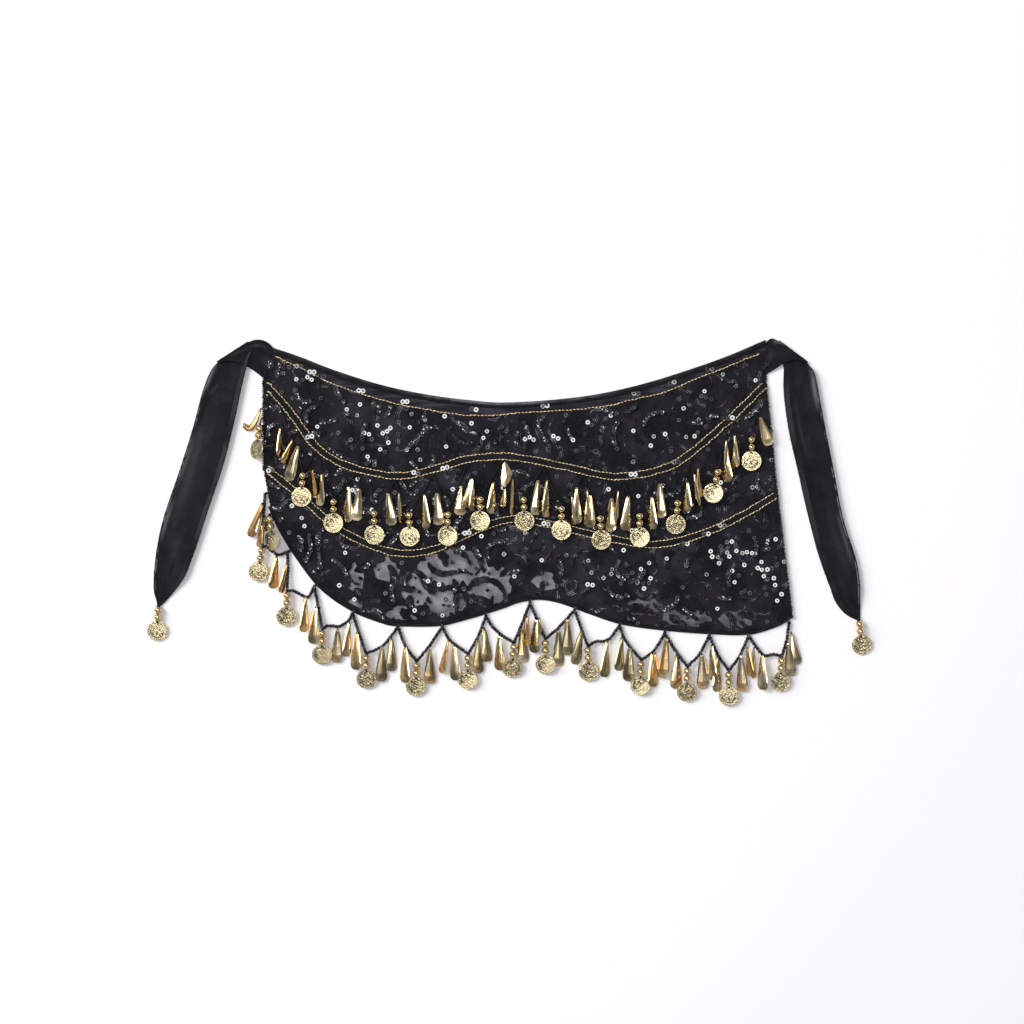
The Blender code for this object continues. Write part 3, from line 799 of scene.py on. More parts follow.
def cloth_finish(look):
    """Black net cloth with couched tape; open net where the attribute says so."""
    f = Finish("sequin_mesh_cloth", look.cloth_colour, 0.7, Coat_Roughness=0.24, Coat_IOR=1.6,
               Sheen_Weight=0.03, Sheen_Roughness=0.4, Specular_IOR_Level=0.16)
    patch, across, along, facing, opening = f.attributes("patch", "across", "along", "facing",
                                                         "opening")
    x, y, _ = f.axes()
    # the tape, frayed at its sides, and its raised rim
    frayed = patch + (f.speckle(420.0, 2.0, roughness=0.6) - 0.5) * 1.5
    tape = frayed.rise(-0.12, 0.16) * (1.0 - facing)
    rim = patch.rise(-0.1, 0.35) * (1.0 - patch.rise(0.5, 1.0))
    ribs = across.stripes(1.9)
    cross = along.stripes(1.6)
    blotch = f.speckle(38.0, 3.0)
    glint = f.speckle(150.0, 3.0, roughness=0.65)
    grain = f.speckle(900.0, 2.0)
    # the net under it, uneven in tone, with broad lighter patches of painted sheen
    dim = tint(look.cloth_colour, 0.45)
    broad = f.speckle(17.0, 2.0)
    ground = f.mix(blotch.rise(0.36, 0.66), dim, tint(look.cloth_colour, 1.3))
    ground = f.mix(broad.rise(0.48, 0.68) * blotch.rise(0.38, 0.6), ground,
                   tint(look.cloth_colour, 2.6))
    ground = f.mix(grain.rise(0.46, 0.72) * 0.50, ground, look.net_colour)
    # painted glints along the tape's ribs, and its dull nap
    painted_glint = ribs.rise(0.35, 0.85) * glint.rise(0.46, 0.62) * blotch.rise(0.40, 0.58)
    painted_glint = painted_glint * (1.0 - 0.5 * opening)
    taped = f.mix(painted_glint, look.tape_colour, look.tape_glint_colour)
    taped = f.mix(rim * blotch.rise(0.42, 0.62) * 0.5, taped, look.net_colour)
    pits = f.speckle(520.0, 2.0)
    napped = pits.rise(0.44, 0.62) * (0.22 + 0.50 * opening) * blotch.rise(0.30, 0.55)
    taped = f.mix(napped, taped, look.net_colour)
    # the plain facing at the waist
    long_grain = f.speckle(260.0, 2.0, where=f.node("ShaderNodeMapping", None, {
        "Vector": f.place(), "Scale": (0.12, 1.0, 1.0)}))
    pale = f.mix(long_grain.rise(0.42, 0.70), tint(look.cloth_colour, 1.3),
                 tint(look.cloth_colour, 4.2))
    smooth = f.mix(facing, ground, pale)
    colour = f.mix(tape, smooth, taped)
    pressed = (y - x * 0.06).wave(1.9) * facing
    # the open windows: crossed threads, with a ghost of cloth behind them
    net = (x + y).wave(1.15).high((x - y).wave(1.15))
    hole = 1.0 - net.rise(0.2, 0.95)
    clear = opening.rise(0.42, 0.58) * (1.0 - tape) * (1.0 - facing)
    ghost = f.speckle(70.0, 2.0).rise(0.36, 0.66)
    clear = clear * (1.0 - 0.20 * ghost - 0.16 * x.rise(95.0, 125.0))
    alpha = 1.0 - clear * (0.50 + 0.38 * hole)
    height = (tape * (ribs * 0.45 + cross * 0.2 + pits * 1.1) + rim * 0.2 + grain * 0.30
              + (1.0 - tape) * net * 0.10 + pressed * 0.22)
    return f.feed(
        Base_Color=f.mix(clear, colour, look.net_colour),
        Roughness=0.74 - 0.34 * painted_glint * tape - 0.12 * facing,
        Coat_Weight=tape * painted_glint * 0.55,
        Alpha=alpha,
        Normal=f.bump(height, 0.42))


def band_finish(look):
    """Smooth woven band and bindings with fine lengthwise lines; a painted highlight on the waist's edge."""
    f = Finish("band_cloth_weave", look.band_colour, 0.5, Sheen_Weight=0.03, Sheen_Roughness=0.4,
               Specular_IOR_Level=0.22)
    across, along, glow = f.attributes("across", "along", "glow")
    lines = across.stripes(0.95)
    picks = along.stripes(0.7)
    wear_and_painted_light = f.speckle(95.0, 3.0)
    colour = f.mix(wear_and_painted_light.rise(0.35, 0.72), tint(look.band_colour, 0.55),
                   tint(look.band_colour, 1.25))
    colour = f.mix(lines * picks * 0.3, colour, tint(look.band_colour, 2.4))
    # a painted highlight along the waist's rolled edge, broken up by the noise that also varies the tone
    colour = f.mix(glow * wear_and_painted_light.rise(0.25, 0.6), colour, look.glow_colour)
    return f.feed(Base_Color=colour, Roughness=0.60 - 0.16 * wear_and_painted_light.rise(0.45, 0.7),
                  Normal=f.bump(lines * 0.7 + picks * 0.3 + wear_and_painted_light * 2.0, 0.20))


def chiffon_finish(look):
    """Crinkled chiffon: fine weave, soft sheen, paler where it is a single layer."""
    f = Finish("chiffon_weave", look.chiffon_colour, 0.55, Sheen_Weight=0.035, Sheen_Roughness=0.35,
               Specular_IOR_Level=0.17)
    across, along, tone, glow = f.attributes("across", "along", "tone", "glow")
    weft = along.stripes(0.9)
    warp = across.stripes(0.9)
    crinkle = f.speckle(210.0, 4.0, roughness=0.6)
    cloud = f.speckle(52.0, 4.0, roughness=0.6)
    dark = tint(look.chiffon_colour, 0.55)
    colour = f.mix(cloud.rise(0.3, 0.72) * 0.6 + crinkle.rise(0.4, 0.7) * 0.3, dark,
                   tint(look.chiffon_colour, 1.3))
    # paler where a single layer lies alone
    beyond, free = f.attributes("beyond", "free")
    slow = f.speckle(24.0, 2.0)
    tone = tone.high((1.0 - across.rise(5.4, 6.2)) * free * slow.rise(0.30, 0.62) * 0.7)
    colour = f.mix(tone, colour, look.single_colour)
    # a broken glint along the free edges
    broken = f.speckle(95.0, 2.0)
    line = beyond.rise(0.8, 1.2) * (1.0 - beyond.rise(1.7, 2.3)) * broken.rise(0.44, 0.56) * free
    glow = glow.high(line * look.edge_shine)
    colour = f.mix(glow, colour, look.glow_colour)
    # the dark rolled edges
    rim = 1.0 - across.low(beyond).rise(0.4, 0.9)
    rim = rim.high(across.rise(5.3, 5.8) * (1.0 - across.rise(6.3, 6.9)) * free * 0.45)
    colour = f.mix(rim * 0.85, colour, tint(look.chiffon_colour, 0.3))
    colour = f.mix(weft * warp * 0.18, colour, tint(look.chiffon_colour, 2.2))
    return f.feed(Base_Color=colour, Roughness=0.64 - 0.2 * cloud.rise(0.5, 0.75) - 0.15 * glow,
                  Alpha=1.0 - 0.16 * tone * (0.5 + 0.5 * cloud),
                  Normal=f.bump(weft * 0.25 + warp * 0.25 + crinkle * 2.4, 0.24))


def gold_finish(name, colour, roughness, look, hollow_and_painted_light=0.0, varied=0.0, bead_shade=0.0):
    """Plated metal: tarnished in a coin's recesses, with a painted highlight on a coin's bent half,
    painted shade low on a bead, and varied from place to place, partly with painted dark reflection."""
    f = Finish(name, colour, roughness, 1.0)
    cloud = f.speckle(60.0 if varied else 130.0, 1.0 if varied else 4.0, roughness=0.6)
    scuffs = f.speckle(900.0, 2.0)
    wear_and_painted_light = f.mix(cloud.rise(0.35, 0.7), tint(colour, 0.80), colour)
    rough = roughness + 0.08 * cloud.rise(0.5, 0.8)
    height = scuffs * 0.3 + cloud * 0.5
    if varied:
        patchy = f.speckle(36.0, 1.0)
        wear_and_painted_light = f.mix(patchy.rise(0.42, 0.55) * varied, wear_and_painted_light, look.warm_colour)
        # patches of painted dark reflection, in a dull olive gold
        painted_dark_reflection = f.speckle(29.0, 1.0, where=f.node("ShaderNodeVectorMath", {"operation": "ADD"}, {
            0: f.place(), 1: (0.31, 0.17, 0.0)}))
        wear_and_painted_light = f.mix(painted_dark_reflection.rise(0.47, 0.58) * varied, wear_and_painted_light, look.dark_reflection_colour)
    if hollow_and_painted_light:
        height = height + f.speckle(1250.0, 1.0) * 5.2
        deep, = f.attributes("hollow_and_painted_light")
        wear_and_painted_light = f.mix(deep.rise(0.2, 0.8) * hollow_and_painted_light, wear_and_painted_light, look.tarnish_colour)
        # a painted highlight where the value goes below nought, on the raised half of a coin's bend
        wear_and_painted_light = f.mix((deep * -1.0).rise(0.2, 0.6), wear_and_painted_light, look.painted_highlight_colour)
        rough = rough + deep * 0.2
    # painted shade on the lower part of a bead
    if bead_shade:
        low, = f.attributes("hollow_and_painted_light")
        wear_and_painted_light = f.mix(low * bead_shade, wear_and_painted_light, look.bead_shade_colour)
    return f.feed(Base_Color=wear_and_painted_light, Roughness=rough,
                  Normal=f.bump(height, 0.06 if hollow_and_painted_light else 0.006))


def ring_finish(name, ior, roughness):
    """Glossy black foil of the ring sequins."""
    f = Finish(name, (0.012, 0.012, 0.014), roughness, IOR=ior, Specular_IOR_Level=0.5)
    shade = f.speckle(260.0, 1.0)
    colour = f.mix(shade.rise(0.4, 0.62), (0.003, 0.003, 0.004), (0.014, 0.014, 0.016))
    return f.feed(Base_Color=colour, Roughness=roughness + 0.10 * shade.rise(0.45, 0.7),
                  Normal=f.bump(f.speckle(700.0, 1.0), 0.02))


def thread_finish(name, colour, metallic, roughness, glint=None):
    """Spun thread, with its fibres as bump, and painted glints where a glint colour is given."""
    f = Finish(name, colour, roughness, metallic, Specular_IOR_Level=0.3)
    fibre = f.speckle(1500.0, 2.0)
    tone = f.mix(fibre.rise(0.35, 0.7), tint(colour, 0.6), colour)
    # painted glints in the thread's colour
    if glint:
        tone = f.mix(f.speckle(420.0, 1.0).rise(0.52, 0.64), tone, glint)
    return f.feed(Base_Color=tone, Roughness=roughness + 0.12 * fibre, Normal=f.bump(fibre, 0.12))


@functools.lru_cache(maxsize=None)
def finishes():
    """Every finish by name, made once."""
    look = bpy.context.scene.hip_scarf_look
    return {
        "cloth": cloth_finish(look),
        "band": band_finish(look),
        "chiffon": chiffon_finish(look),
        "coin": gold_finish("coin_gold_plate", look.coin_colour, 0.20, look, hollow_and_painted_light=0.95),
        # the hem coins take the same plate painted darker, as painted shade
        "coin_hem": gold_finish("coin_hem_plate", tint(look.coin_colour, 0.86), 0.22,
                                look, hollow_and_painted_light=0.95),
        "bead": gold_finish("bead_gold_plate", look.bead_colour, 0.12, look, bead_shade=0.9),
        # the upper paillettes take the hem paillettes' foil painted brighter, as painted light
        "paillette": gold_finish("paillette_pale_gold", look.lit_foil_colour, 0.15, look, varied=0.5),
        "paillette_hem": gold_finish("paillette_hem_gold", look.paillette_colour, 0.20, look,
                                     varied=0.9),
        "paillette_flat": gold_finish("paillette_back_gold", look.paillette_colour, 0.34, look),
        "paillette_warm": gold_finish("paillette_warm_gold", look.warm_colour, 0.24, look),
        "ring": ring_finish("ring_sequin_foil", 2.25, 0.09),
        "chain_ring": ring_finish("chain_sequin_foil", 2.4, 0.14),
        # gold thread with painted glints
        "gold_thread": thread_finish("gold_stitch_thread", look.stitch_colour, 0.15, 0.34,
                                     glint=(1.0, 0.93, 0.72)),
        "black_thread": thread_finish("black_fringe_thread", look.thread_colour, 0.0, 0.55),
        # black thread with painted glints
        "thread_painted_glints": thread_finish("black_waxed_thread", look.thread_colour, 0.0, 0.46,
                                      glint=(0.11, 0.11, 0.12)),
    }


# ---------------------------------------------------------------- meshes

def linked(name, data):
    """An object for a mesh, lamp or camera, in the scene."""
    made = bpy.data.objects.new(name, data)
    bpy.context.scene.collection.objects.link(made)
    return made


def mesh_piece(name, verts, faces, materials, smooth=True, attributes=None, picks=None):
    """An object at the origin from millimetre points, with its finishes and attributes."""
    mesh = bpy.data.meshes.new(name)
    mesh.from_pydata(np.asarray(verts, float) * MM, [], faces)
    for finish in materials:
        mesh.materials.append(finishes()[finish])
    mesh.polygons.foreach_set("use_smooth", [smooth] * len(mesh.polygons))
    if picks is not None:
        mesh.polygons.foreach_set("material_index", picks)
    for key, values in (attributes or {}).items():
        store(mesh, key, values)
    mesh.update()
    return linked(name, mesh)


def store(mesh, key, values, kind="FLOAT"):
    """Keep a value for each point of a mesh."""
    layer = mesh.attributes.new(key, kind, "POINT")
    field = "vector" if kind == "FLOAT_VECTOR" else "value"
    layer.data.foreach_set(field, np.asarray(values, float).ravel())


def closed_sheet(top, bottom):
    """Points and faces of a closed sheet from two grids of points, rows by columns by xyz."""
    rows, columns = top.shape[:2]
    verts = np.concatenate((top.reshape(-1, 3), bottom.reshape(-1, 3)))
    corner = (np.arange(rows - 1)[:, None] * columns + np.arange(columns - 1)[None, :]).ravel()
    faces = [np.stack((corner, corner + columns, corner + columns + 1, corner + 1), axis=1)]
    under = rows * columns
    faces.append(under + faces[0][:, ::-1])
    loop = np.concatenate((np.arange(columns - 1), np.arange(rows - 1) * columns + columns - 1,
                           under - 1 - np.arange(columns - 1),
                           (rows - 1 - np.arange(rows - 1)) * columns))
    ahead = np.roll(loop, -1)
    faces.append(np.stack((loop, ahead, ahead + under, loop + under), axis=1))
    return verts, np.concatenate(faces)


def sheet_piece(name, slot, nodes, finish, top, bottom, **attributes):
    """A finished sheet of cloth or foil, with attributes for each point of its upper grid."""
    verts, faces = closed_sheet(top, bottom)
    both = {key: np.tile(np.ravel(values), 2) for key, values in attributes.items()}
    return register_piece(mesh_piece(name, verts, faces, [finish], attributes=both), slot, *nodes)


def register_piece(piece, slot, *nodes):
    """Put a finished piece on the one body, in its slot, in place of its CAD nodes."""
    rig.ride(piece, "root")
    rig.slot(piece, slot)
    if nodes:
        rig.replaces(piece, *nodes)
    return piece


def recalculate(piece):
    """Turn every face of a closed mesh outwards."""
    work = bmesh.new()
    work.from_mesh(piece.data)
    bmesh.ops.recalc_face_normals(work, faces=work.faces)
    work.to_mesh(piece.data)
    work.free()


def ragged(shares, rows, seed, reach):
    """How far each row's ends are frayed out or in, fading over the first columns."""
    left, right = (np.array([[noise.noise((r * 0.55, seed, slow))
                              + 0.6 * noise.noise((r * 1.7, seed, quick))] for r in range(rows)])
                   for slow, quick in ((0, 5), (9, 15)))
    return reach * (right * np.exp(-(1 - shares) * 140) - left * np.exp(-shares * 140))


def panel(name, node, sections, counts, columns, seed):
    """One panel of embroidered cloth from line to line, each moved sideways by a distance, with
    counts of rows between them, as a closed sheet."""
    shares = np.linspace(0, 1, columns + 1)
    lines = [line.beside(shares, distance) for line, distance in sections]
    grid = []
    for start, end, count in zip(lines, lines[1:], counts):
        grid += [start + (end - start) * t for t in np.arange(count) / count]
    grid = np.array(grid + lines[-1:])
    grid[:, :, 0] += ragged(shares, len(grid), seed, FRAY)
    points, shape = grid.reshape(-1, 2), grid.shape[:2]
    patch, across, along = tape_field(points)
    opening = np.zeros(len(points))
    if node == "lower_panel":
        for x, y, wide, high in OPEN_NET:
            off = np.hypot((points[:, 0] - x) / wide, (points[:, 1] - y) / high)
            off += np.array([0.5 * noise.noise((a / 7, b / 7, 2.0)) for a, b in points])
            opening = np.maximum(opening, 1 - rising(off, 0.86, 1.08))
        opening *= rising(nearest(points, sewn_samples()), 1.5, 5.0)
    rim = np.ones(shape)
    rim[1:-1, 1:-1] = 0
    raised = curl(*points.T).reshape(shape)
    height = (CLOTH + relief(points, patch)).reshape(shape) - EDGE_PRESS * rim + raised
    return sheet_piece(name, "sequin_mesh", [node], "cloth", np.dstack((grid, height)),
                       np.dstack((grid, UNDERSIDE + raised)), patch=patch, across=across,
                       along=along, facing=over_waist_stitch(points, 0.8), opening=opening)


def strip(name, node, slot, line, edges, base, sections, columns, glow=None):
    """A closed strip along a seam, from one distance beside it to another: sections give the
    share across and the height over its base."""
    shares = np.linspace(0, 1, columns + 1)
    wobble = np.array([noise.noise((s * line.length / 14, edges[0], 2)) for s in shares])
    top, bottom, across = [], [], []
    for share, height in sections:
        distance = edges[0] + (edges[1] - edges[0]) * share
        row = line.beside(shares, distance)
        if slot == "band_cloth":
            row[:, 0] = np.clip(row[:, 0], BANDS_LEFT_END, line.points[-1, 0] + 0.5)
        floor = base + curl(row[:, 0], row[:, 1])
        top.append(np.column_stack((row, floor + height + 0.10 * wobble * (0.2 < share < 0.8))))
        bottom.append(np.column_stack((row, floor)))
        across.append(np.full(len(row), abs(distance)))
    top, across = np.array(top), np.array(across)
    return sheet_piece(name, slot, [node], "band", top, np.array(bottom), across=across,
                       along=np.tile(shares * line.length, len(sections)),
                       glow=glow(top[:, :, 0], across) if glow else 0 * across)


def filleted(points, corner, ahead, behind, radius):
    """Points outside a corner's rounding, drawn in to it."""
    a, b = (way / np.linalg.norm(way) for way in (ahead - corner, behind - corner))
    half = math.acos(float(a @ b)) / 2
    centre = corner + (a + b) / np.linalg.norm(a + b) * radius / math.sin(half)
    reach = radius / math.tan(half)
    off = points - corner
    near = (off @ a < reach) & (off @ b < reach)
    away = points - centre
    far = np.linalg.norm(away, axis=1)
    pull = near & (far > radius)
    points = points.copy()
    points[pull] = centre + away[pull] / far[pull, None] * radius
    return points


def tie(name, node, over, under, creases, tones, rounding, raised):
    """A ribbon of chiffon with its first stretch turned over at a slanting fold."""

    def sections(rows):
        return np.array([(*row[0:4], TIE_REST + row[4] * FOLD_RISE) for row in rows])

    def middle_run(table):
        return run_along((table[:, 0:2] + table[:, 2:4]) / 2)

    def dense(table, spacing):
        """More sections between the given ones, on smooth curves."""
        run = middle_run(table)
        at = np.linspace(0, run[-1], max(int(run[-1] / spacing), 4) + 1)
        return smooth_between(table, run, np.gradient(table, run, axis=0), at)

    over, under = sections(over), sections(under)
    inner, outer = over[-1, 0:2], over[-1, 2:4]
    crease = outer - inner
    away = np.array((-crease[1], crease[0])) / np.linalg.norm(crease)
    away *= math.copysign(1.0, away[1])
    radius = FOLD_RISE / 2
    turns = math.pi * np.arange(1, FOLD_STEPS) / FOLD_STEPS
    bend = np.column_stack((inner + away * radius * np.sin(turns)[:, None],
                            outer + away * radius * np.sin(turns)[:, None],
                            TIE_REST + radius * (1 + np.cos(turns))))
    first, second = dense(over, 1.3), dense(under, 1.7)
    table = np.concatenate((first, bend, second))
    # the seam's allowance runs in under the panel
    gap = table[0, 0:4] - table[2, 0:4]
    table[0, 0:4] += gap / np.linalg.norm(gap[0:2]) * SEAM_TUCK

    widths = np.linalg.norm(table[:, 2:4] - table[:, 0:2], axis=1)[:, None]
    run = middle_run(table)
    whole, mean_width = run[-1], widths.mean()
    v = np.linspace(0, 1, TIE_COLUMNS + 1)
    across, along = widths * v, np.repeat(run[:, None], TIE_COLUMNS + 1, axis=1)
    beyond = widths - across
    even = np.column_stack((np.tile(v, len(table)) * mean_width, along.ravel()))

    def share_ridge(row, half, low, high):
        """A ridge between two places given as shares of the width and of the length."""
        return ridge(even, np.array(row) * ((mean_width, whole) * 2), half, low, high)

    lift = np.array([0.30 * noise.noise((a / 9, s / 26, widths[0, 0]))
                     for a, s in zip(across.ravel(), along.ravel())])
    for *row, half, height in creases:
        lift += height * share_ridge(row, half, -0.2, 0.2)
    tone, glow = np.zeros(len(even)), np.zeros(len(even))
    for *row, half, lighter, shine in tones:
        spot = share_ridge(row, half, -0.1, 0.4)
        tone, glow = tone + lighter * spot, glow + shine * spot
    rolled = np.minimum(across, beyond)
    lift = lift.reshape(across.shape) * rising(rolled, 0.2, 3.0)
    lift = np.maximum(lift + 0.30 * (1 - rising(rolled, 0.6, 1.6)), -0.35)
    # one long edge stands up off the floor between the fold and the tip
    free = (rising(run, 26, 44) * (1 - rising(run, whole - 34, whole - 8)))[:, None]
    stand = TIE_STAND * np.exp(-(beyond if raised else across) / 8) * free

    # in the fold the wall stands upright, so its thickness goes outwards and not up
    number = np.arange(len(table))
    fold_from, fold_to = len(first), len(first) + len(bend)
    tilt = np.where(number < fold_from, 0.0, math.pi)[:, None]
    tilt[fold_from:fold_to, 0] = turns
    up, out = TIE_WALL * np.cos(tilt), TIE_WALL * np.sin(tilt)
    settled = number[:, None] > fold_to + 4
    lift, stand = lift * (settled | (number[:, None] < fold_from)), stand * settled
    middle = table[:, None, 0:2] + (table[:, 2:4] - table[:, 0:2])[:, None] * v[:, None]
    for column, seed in ((0, 3), (-1, 8)):
        middle[:, column, 0] += 0.35 * free[:, 0] * [
            noise.noise((place / 2.6, seed, widths[0, 0])) for place in run]
    grids = []
    for side in (1, -1):
        line = (middle + side * (away * out)[:, None]).reshape(-1, 2)
        line = filleted(line, inner, over[-3, 0:2], outer, rounding).reshape(middle.shape)
        grids.append(np.dstack((line, table[:, 4:5] + side * up + lift * (side * up > 0) + stand)))
    piece = sheet_piece(name, "chiffon", [node], "chiffon", *grids, across=across, along=along,
                        beyond=beyond, free=np.repeat(free, TIE_COLUMNS + 1),
                        tone=np.clip(tone, 0, 1), glow=np.clip(glow, 0, 1))
    recalculate(piece)


# ---------------------------------------------------------------- geometry nodes

class Tree(Nodes):
    """A Geometry Nodes tree: its inputs by name, and what every one of them ends with."""

    def __init__(self, name, **inputs):
        group = bpy.data.node_groups.new(name, "GeometryNodeTree")
        super().__init__(group)
        sockets = {"Geometry": "Geometry", "Finish": "Material", **inputs}
        for label, kind in sockets.items():
            group.interface.new_socket(label, in_out="INPUT", socket_type="NodeSocket" + kind)
        group.interface.new_socket("Geometry", in_out="OUTPUT", socket_type="NodeSocketGeometry")
        given = group.nodes.new("NodeGroupInput").outputs
        self.given = {label: Wire(self, given[label]) for label in sockets}

    def even_line(self, spacing):
        """The given polyline with points at even spacing."""
        curve = self.node("GeometryNodeMeshToCurve", None, {0: self.given["Geometry"]})
        return self.node("GeometryNodeResampleCurve", {"mode": "LENGTH"},
                         {"Curve": curve, "Length": self.given[spacing]})

    def drawn(self, low, high, kind="FLOAT"):
        """A random value for each instance."""
        first = 2 if kind == "FLOAT" else 0
        inputs = {first: low, first + 1: high, "Seed": self.given["Seed"]}
        return self.node("FunctionNodeRandomValue", {"data_type": kind}, inputs, out=first // 2)

    def vector(self, operation, *values):
        return self.node("ShaderNodeVectorMath", {"operation": operation}, dict(enumerate(values)))

    def end_with_shapes(self, points, turn, size):
        """The given shape on every point, turned and sized, and then the end."""
        shape = self.node("GeometryNodeObjectInfo", None, {"Object": self.given["Shape"]},
                          out="Geometry")
        return self.end(self.node("GeometryNodeInstanceOnPoints", None, {
            "Points": points, "Instance": shape, "Rotation": turn, "Scale": size}))

    def end(self, geometry):
        """Realize Instances, Set Material and the output."""
        real = self.node("GeometryNodeRealizeInstances", None, {0: geometry})
        done = self.node("GeometryNodeSetMaterial", None,
                         {"Geometry": real, "Material": self.given["Finish"]})
        self.tree.links.new(done.socket, self.tree.nodes.new("NodeGroupOutput").inputs[0])
        return self.tree


@functools.lru_cache(maxsize=None)
def row_of_stitches():
    """One shape at every pitch along a polyline, turned to follow it."""
    tree = Tree("row_of_stitches", Shape="Object", Pitch="Float", Wander="Float", Seed="Int")
    wander = tree.given["Wander"]
    facing = tree.node("FunctionNodeAlignRotationToVector", {"axis": "X", "pivot_axis": "Z"},
                       {"Vector": tree.node("GeometryNodeInputTangent")})
    sway = tree.node("ShaderNodeCombineXYZ", None, {2: tree.drawn(wander * -1.0, wander)})
    turned = tree.node("FunctionNodeRotateRotation", {"rotation_space": "LOCAL"},
                       {0: facing, 1: tree.node("FunctionNodeEulerToRotation", None, {0: sway})})
    return tree.end_with_shapes(tree.even_line("Pitch"), turned, tree.drawn(0.84, 1.16))


@functools.lru_cache(maxsize=None)
def placed_shapes():
    """One shape on every point, turned and sized by the points' own values, with a little more
    tilt drawn at random."""
    tree = Tree("placed_shapes", Shape="Object", Tilt="Float", Seed="Int")
    turn, size = (tree.node("GeometryNodeInputNamedAttribute", {"data_type": "FLOAT_VECTOR"},
                            {0: name}) for name in ("turn", "size"))
    limits = [tree.node("ShaderNodeCombineXYZ", None, {0: tilt, 1: tilt})
              for tilt in (tree.given["Tilt"] * -1.0, tree.given["Tilt"])]
    whole = tree.vector("ADD", turn, tree.drawn(*limits, "FLOAT_VECTOR"))
    turned = tree.node("FunctionNodeEulerToRotation", None, {0: whole})
    return tree.end_with_shapes(tree.given["Geometry"], turned, size)


@functools.lru_cache(maxsize=None)
def twisted_thread():
    """Two strands twisted round each polyline."""
    tree = Tree("twisted_thread", Strand="Float", Lay="Float", Step="Float")
    strand = tree.given["Strand"]
    even = tree.even_line("Step")
    length = tree.node("GeometryNodeSplineParameter", out="Length")
    phase = length / tree.given["Lay"] * (2 * math.pi)
    normal = tree.node("GeometryNodeInputNormal")
    square = tree.vector("CROSS_PRODUCT", tree.node("GeometryNodeInputTangent"), normal)
    circle = tree.node("GeometryNodeCurvePrimitiveCircle", None,
                       {"Resolution": 5, "Radius": strand})
    both = tree.node("GeometryNodeJoinGeometry")
    for side in (1.0, -1.0):
        radius = strand * (side * 1.02)
        parts = [tree.node("ShaderNodeVectorMath", {"operation": "SCALE"},
                           {0: axis, "Scale": phase.math(operation, phase) * radius})
                 for operation, axis in (("COSINE", normal), ("SINE", square))]
        moved = tree.node("GeometryNodeSetPosition", None,
                          {"Geometry": even, "Offset": tree.vector("ADD", *parts)})
        tube = tree.node("GeometryNodeCurveToMesh", None,
                         {"Curve": moved, "Profile Curve": circle, "Fill Caps": True})
        tree.tree.links.new(tube.socket, both.socket.node.inputs[0])
    return tree.end(both)


def guide(name, verts, edges=(), faces=()):
    """A helper object from millimetre points, removed once it has been used."""
    mesh = bpy.data.meshes.new(name)
    mesh.from_pydata(np.asarray(verts, float) * MM, list(edges), list(faces))
    return linked(name, mesh)


def polylines(lines):
    """One helper object that holds several polylines of xyz points."""
    verts, edges = [], []
    for line in lines:
        edges += [(len(verts) + i, len(verts) + i + 1) for i in range(len(line) - 1)]
        verts += [tuple(point) for point in line]
    return guide("lines", verts, edges)


def point_cloud(points, turns, sizes):
    """One helper object with a point for each shape, and its turn and size."""
    cloud = guide("points", points)
    store(cloud.data, "turn", turns, "FLOAT_VECTOR")
    store(cloud.data, "size", sizes, "FLOAT_VECTOR")
    return cloud


def grow(name, source, tree, slot, *nodes, finish, shape=None, flat=False, **given):
    """Run a tree on a helper object, and keep its result as a finished piece at the origin. A
    flat shape has flat shading, and its faces are all turned outwards."""
    given["Finish"] = finishes()[finish]
    if shape:
        verts, faces = shape
        given["Shape"] = guide("shape", verts, faces=faces)
    modifier = source.modifiers.new("grow", "NODES")
    modifier.node_group = tree
    for item in tree.interface.items_tree:
        if item.in_out == "INPUT" and item.name in given:
            modifier[item.identifier] = given[item.name]
    bpy.context.view_layer.update()
    graph = bpy.context.evaluated_depsgraph_get()
    mesh = bpy.data.meshes.new_from_object(source.evaluated_get(graph))
    mesh.name = name
    mesh.polygons.foreach_set("use_smooth", [not flat] * len(mesh.polygons))
    for layer in list(mesh.attributes):
        if layer.name in ("turn", "size"):
            mesh.attributes.remove(layer)
    source.modifiers.remove(modifier)
    bpy.data.objects.remove(source)
    if shape:
        bpy.data.objects.remove(given["Shape"])
    piece = linked(name, mesh)
    if flat:
        recalculate(piece)
    return register_piece(piece, slot, *nodes)


# ---------------------------------------------------------------- repeated shapes

def circle(sides, radius=1.0):
    """Points round a circle."""
    angles = [2 * math.pi * side / sides for side in range(sides)]
    return [(radius * math.cos(angle), radius * math.sin(angle)) for angle in angles]


def wall(low, high, sides):
    """Faces between two loops of points, told by the number of each one's first point."""
    return [(low + side, low + (side + 1) % sides, high + (side + 1) % sides, high + side)
            for side in range(sides)]


def turned_over(faces):
    """The same faces seen from their other side."""
    return [(face[0], *face[:0:-1]) for face in faces]


def lathe(profile, sides):
    """A closed profile of radius and height turned round Z: points and faces."""
    verts = [(x, y, z) for radius, z in profile for x, y in circle(sides, radius)]
    starts = [loop * sides for loop in range(len(profile))]
    return verts, [face for low, high in zip(starts, starts[1:] + starts[:1])
                   for face in wall(low, high, sides)]


def spindle(length, width, height, sides, rings):
    """A low closed spindle along X: points and faces."""
    verts = [(-length / 2, 0, 0)]
    for ring in range(1, rings):
        t = ring / rings
        girth = math.sin(math.pi * t)**0.7
        verts += [(-length / 2 + length * t, y * width / 2 * girth, z * height / 2 * girth)
                  for y, z in circle(sides)]
    verts.append((length / 2, 0, 0))
    last = 1 + (rings - 2) * sides
    faces = []
    for side in range(sides):
        after = (side + 1) % sides
        faces += [(0, 1 + after, 1 + side), (last + side, last + after, len(verts) - 1)]
    for base in range(1, last, sides):
        faces += wall(base, base + sides, sides)
    return verts, faces


def ring_shape(outer, hole, thick, sides, cup):
    """A ring, flat or cupped by that many millimetres."""
    return lathe([(hole, 0.0), (outer, cup), (outer, thick + cup), (hole, thick)], sides)


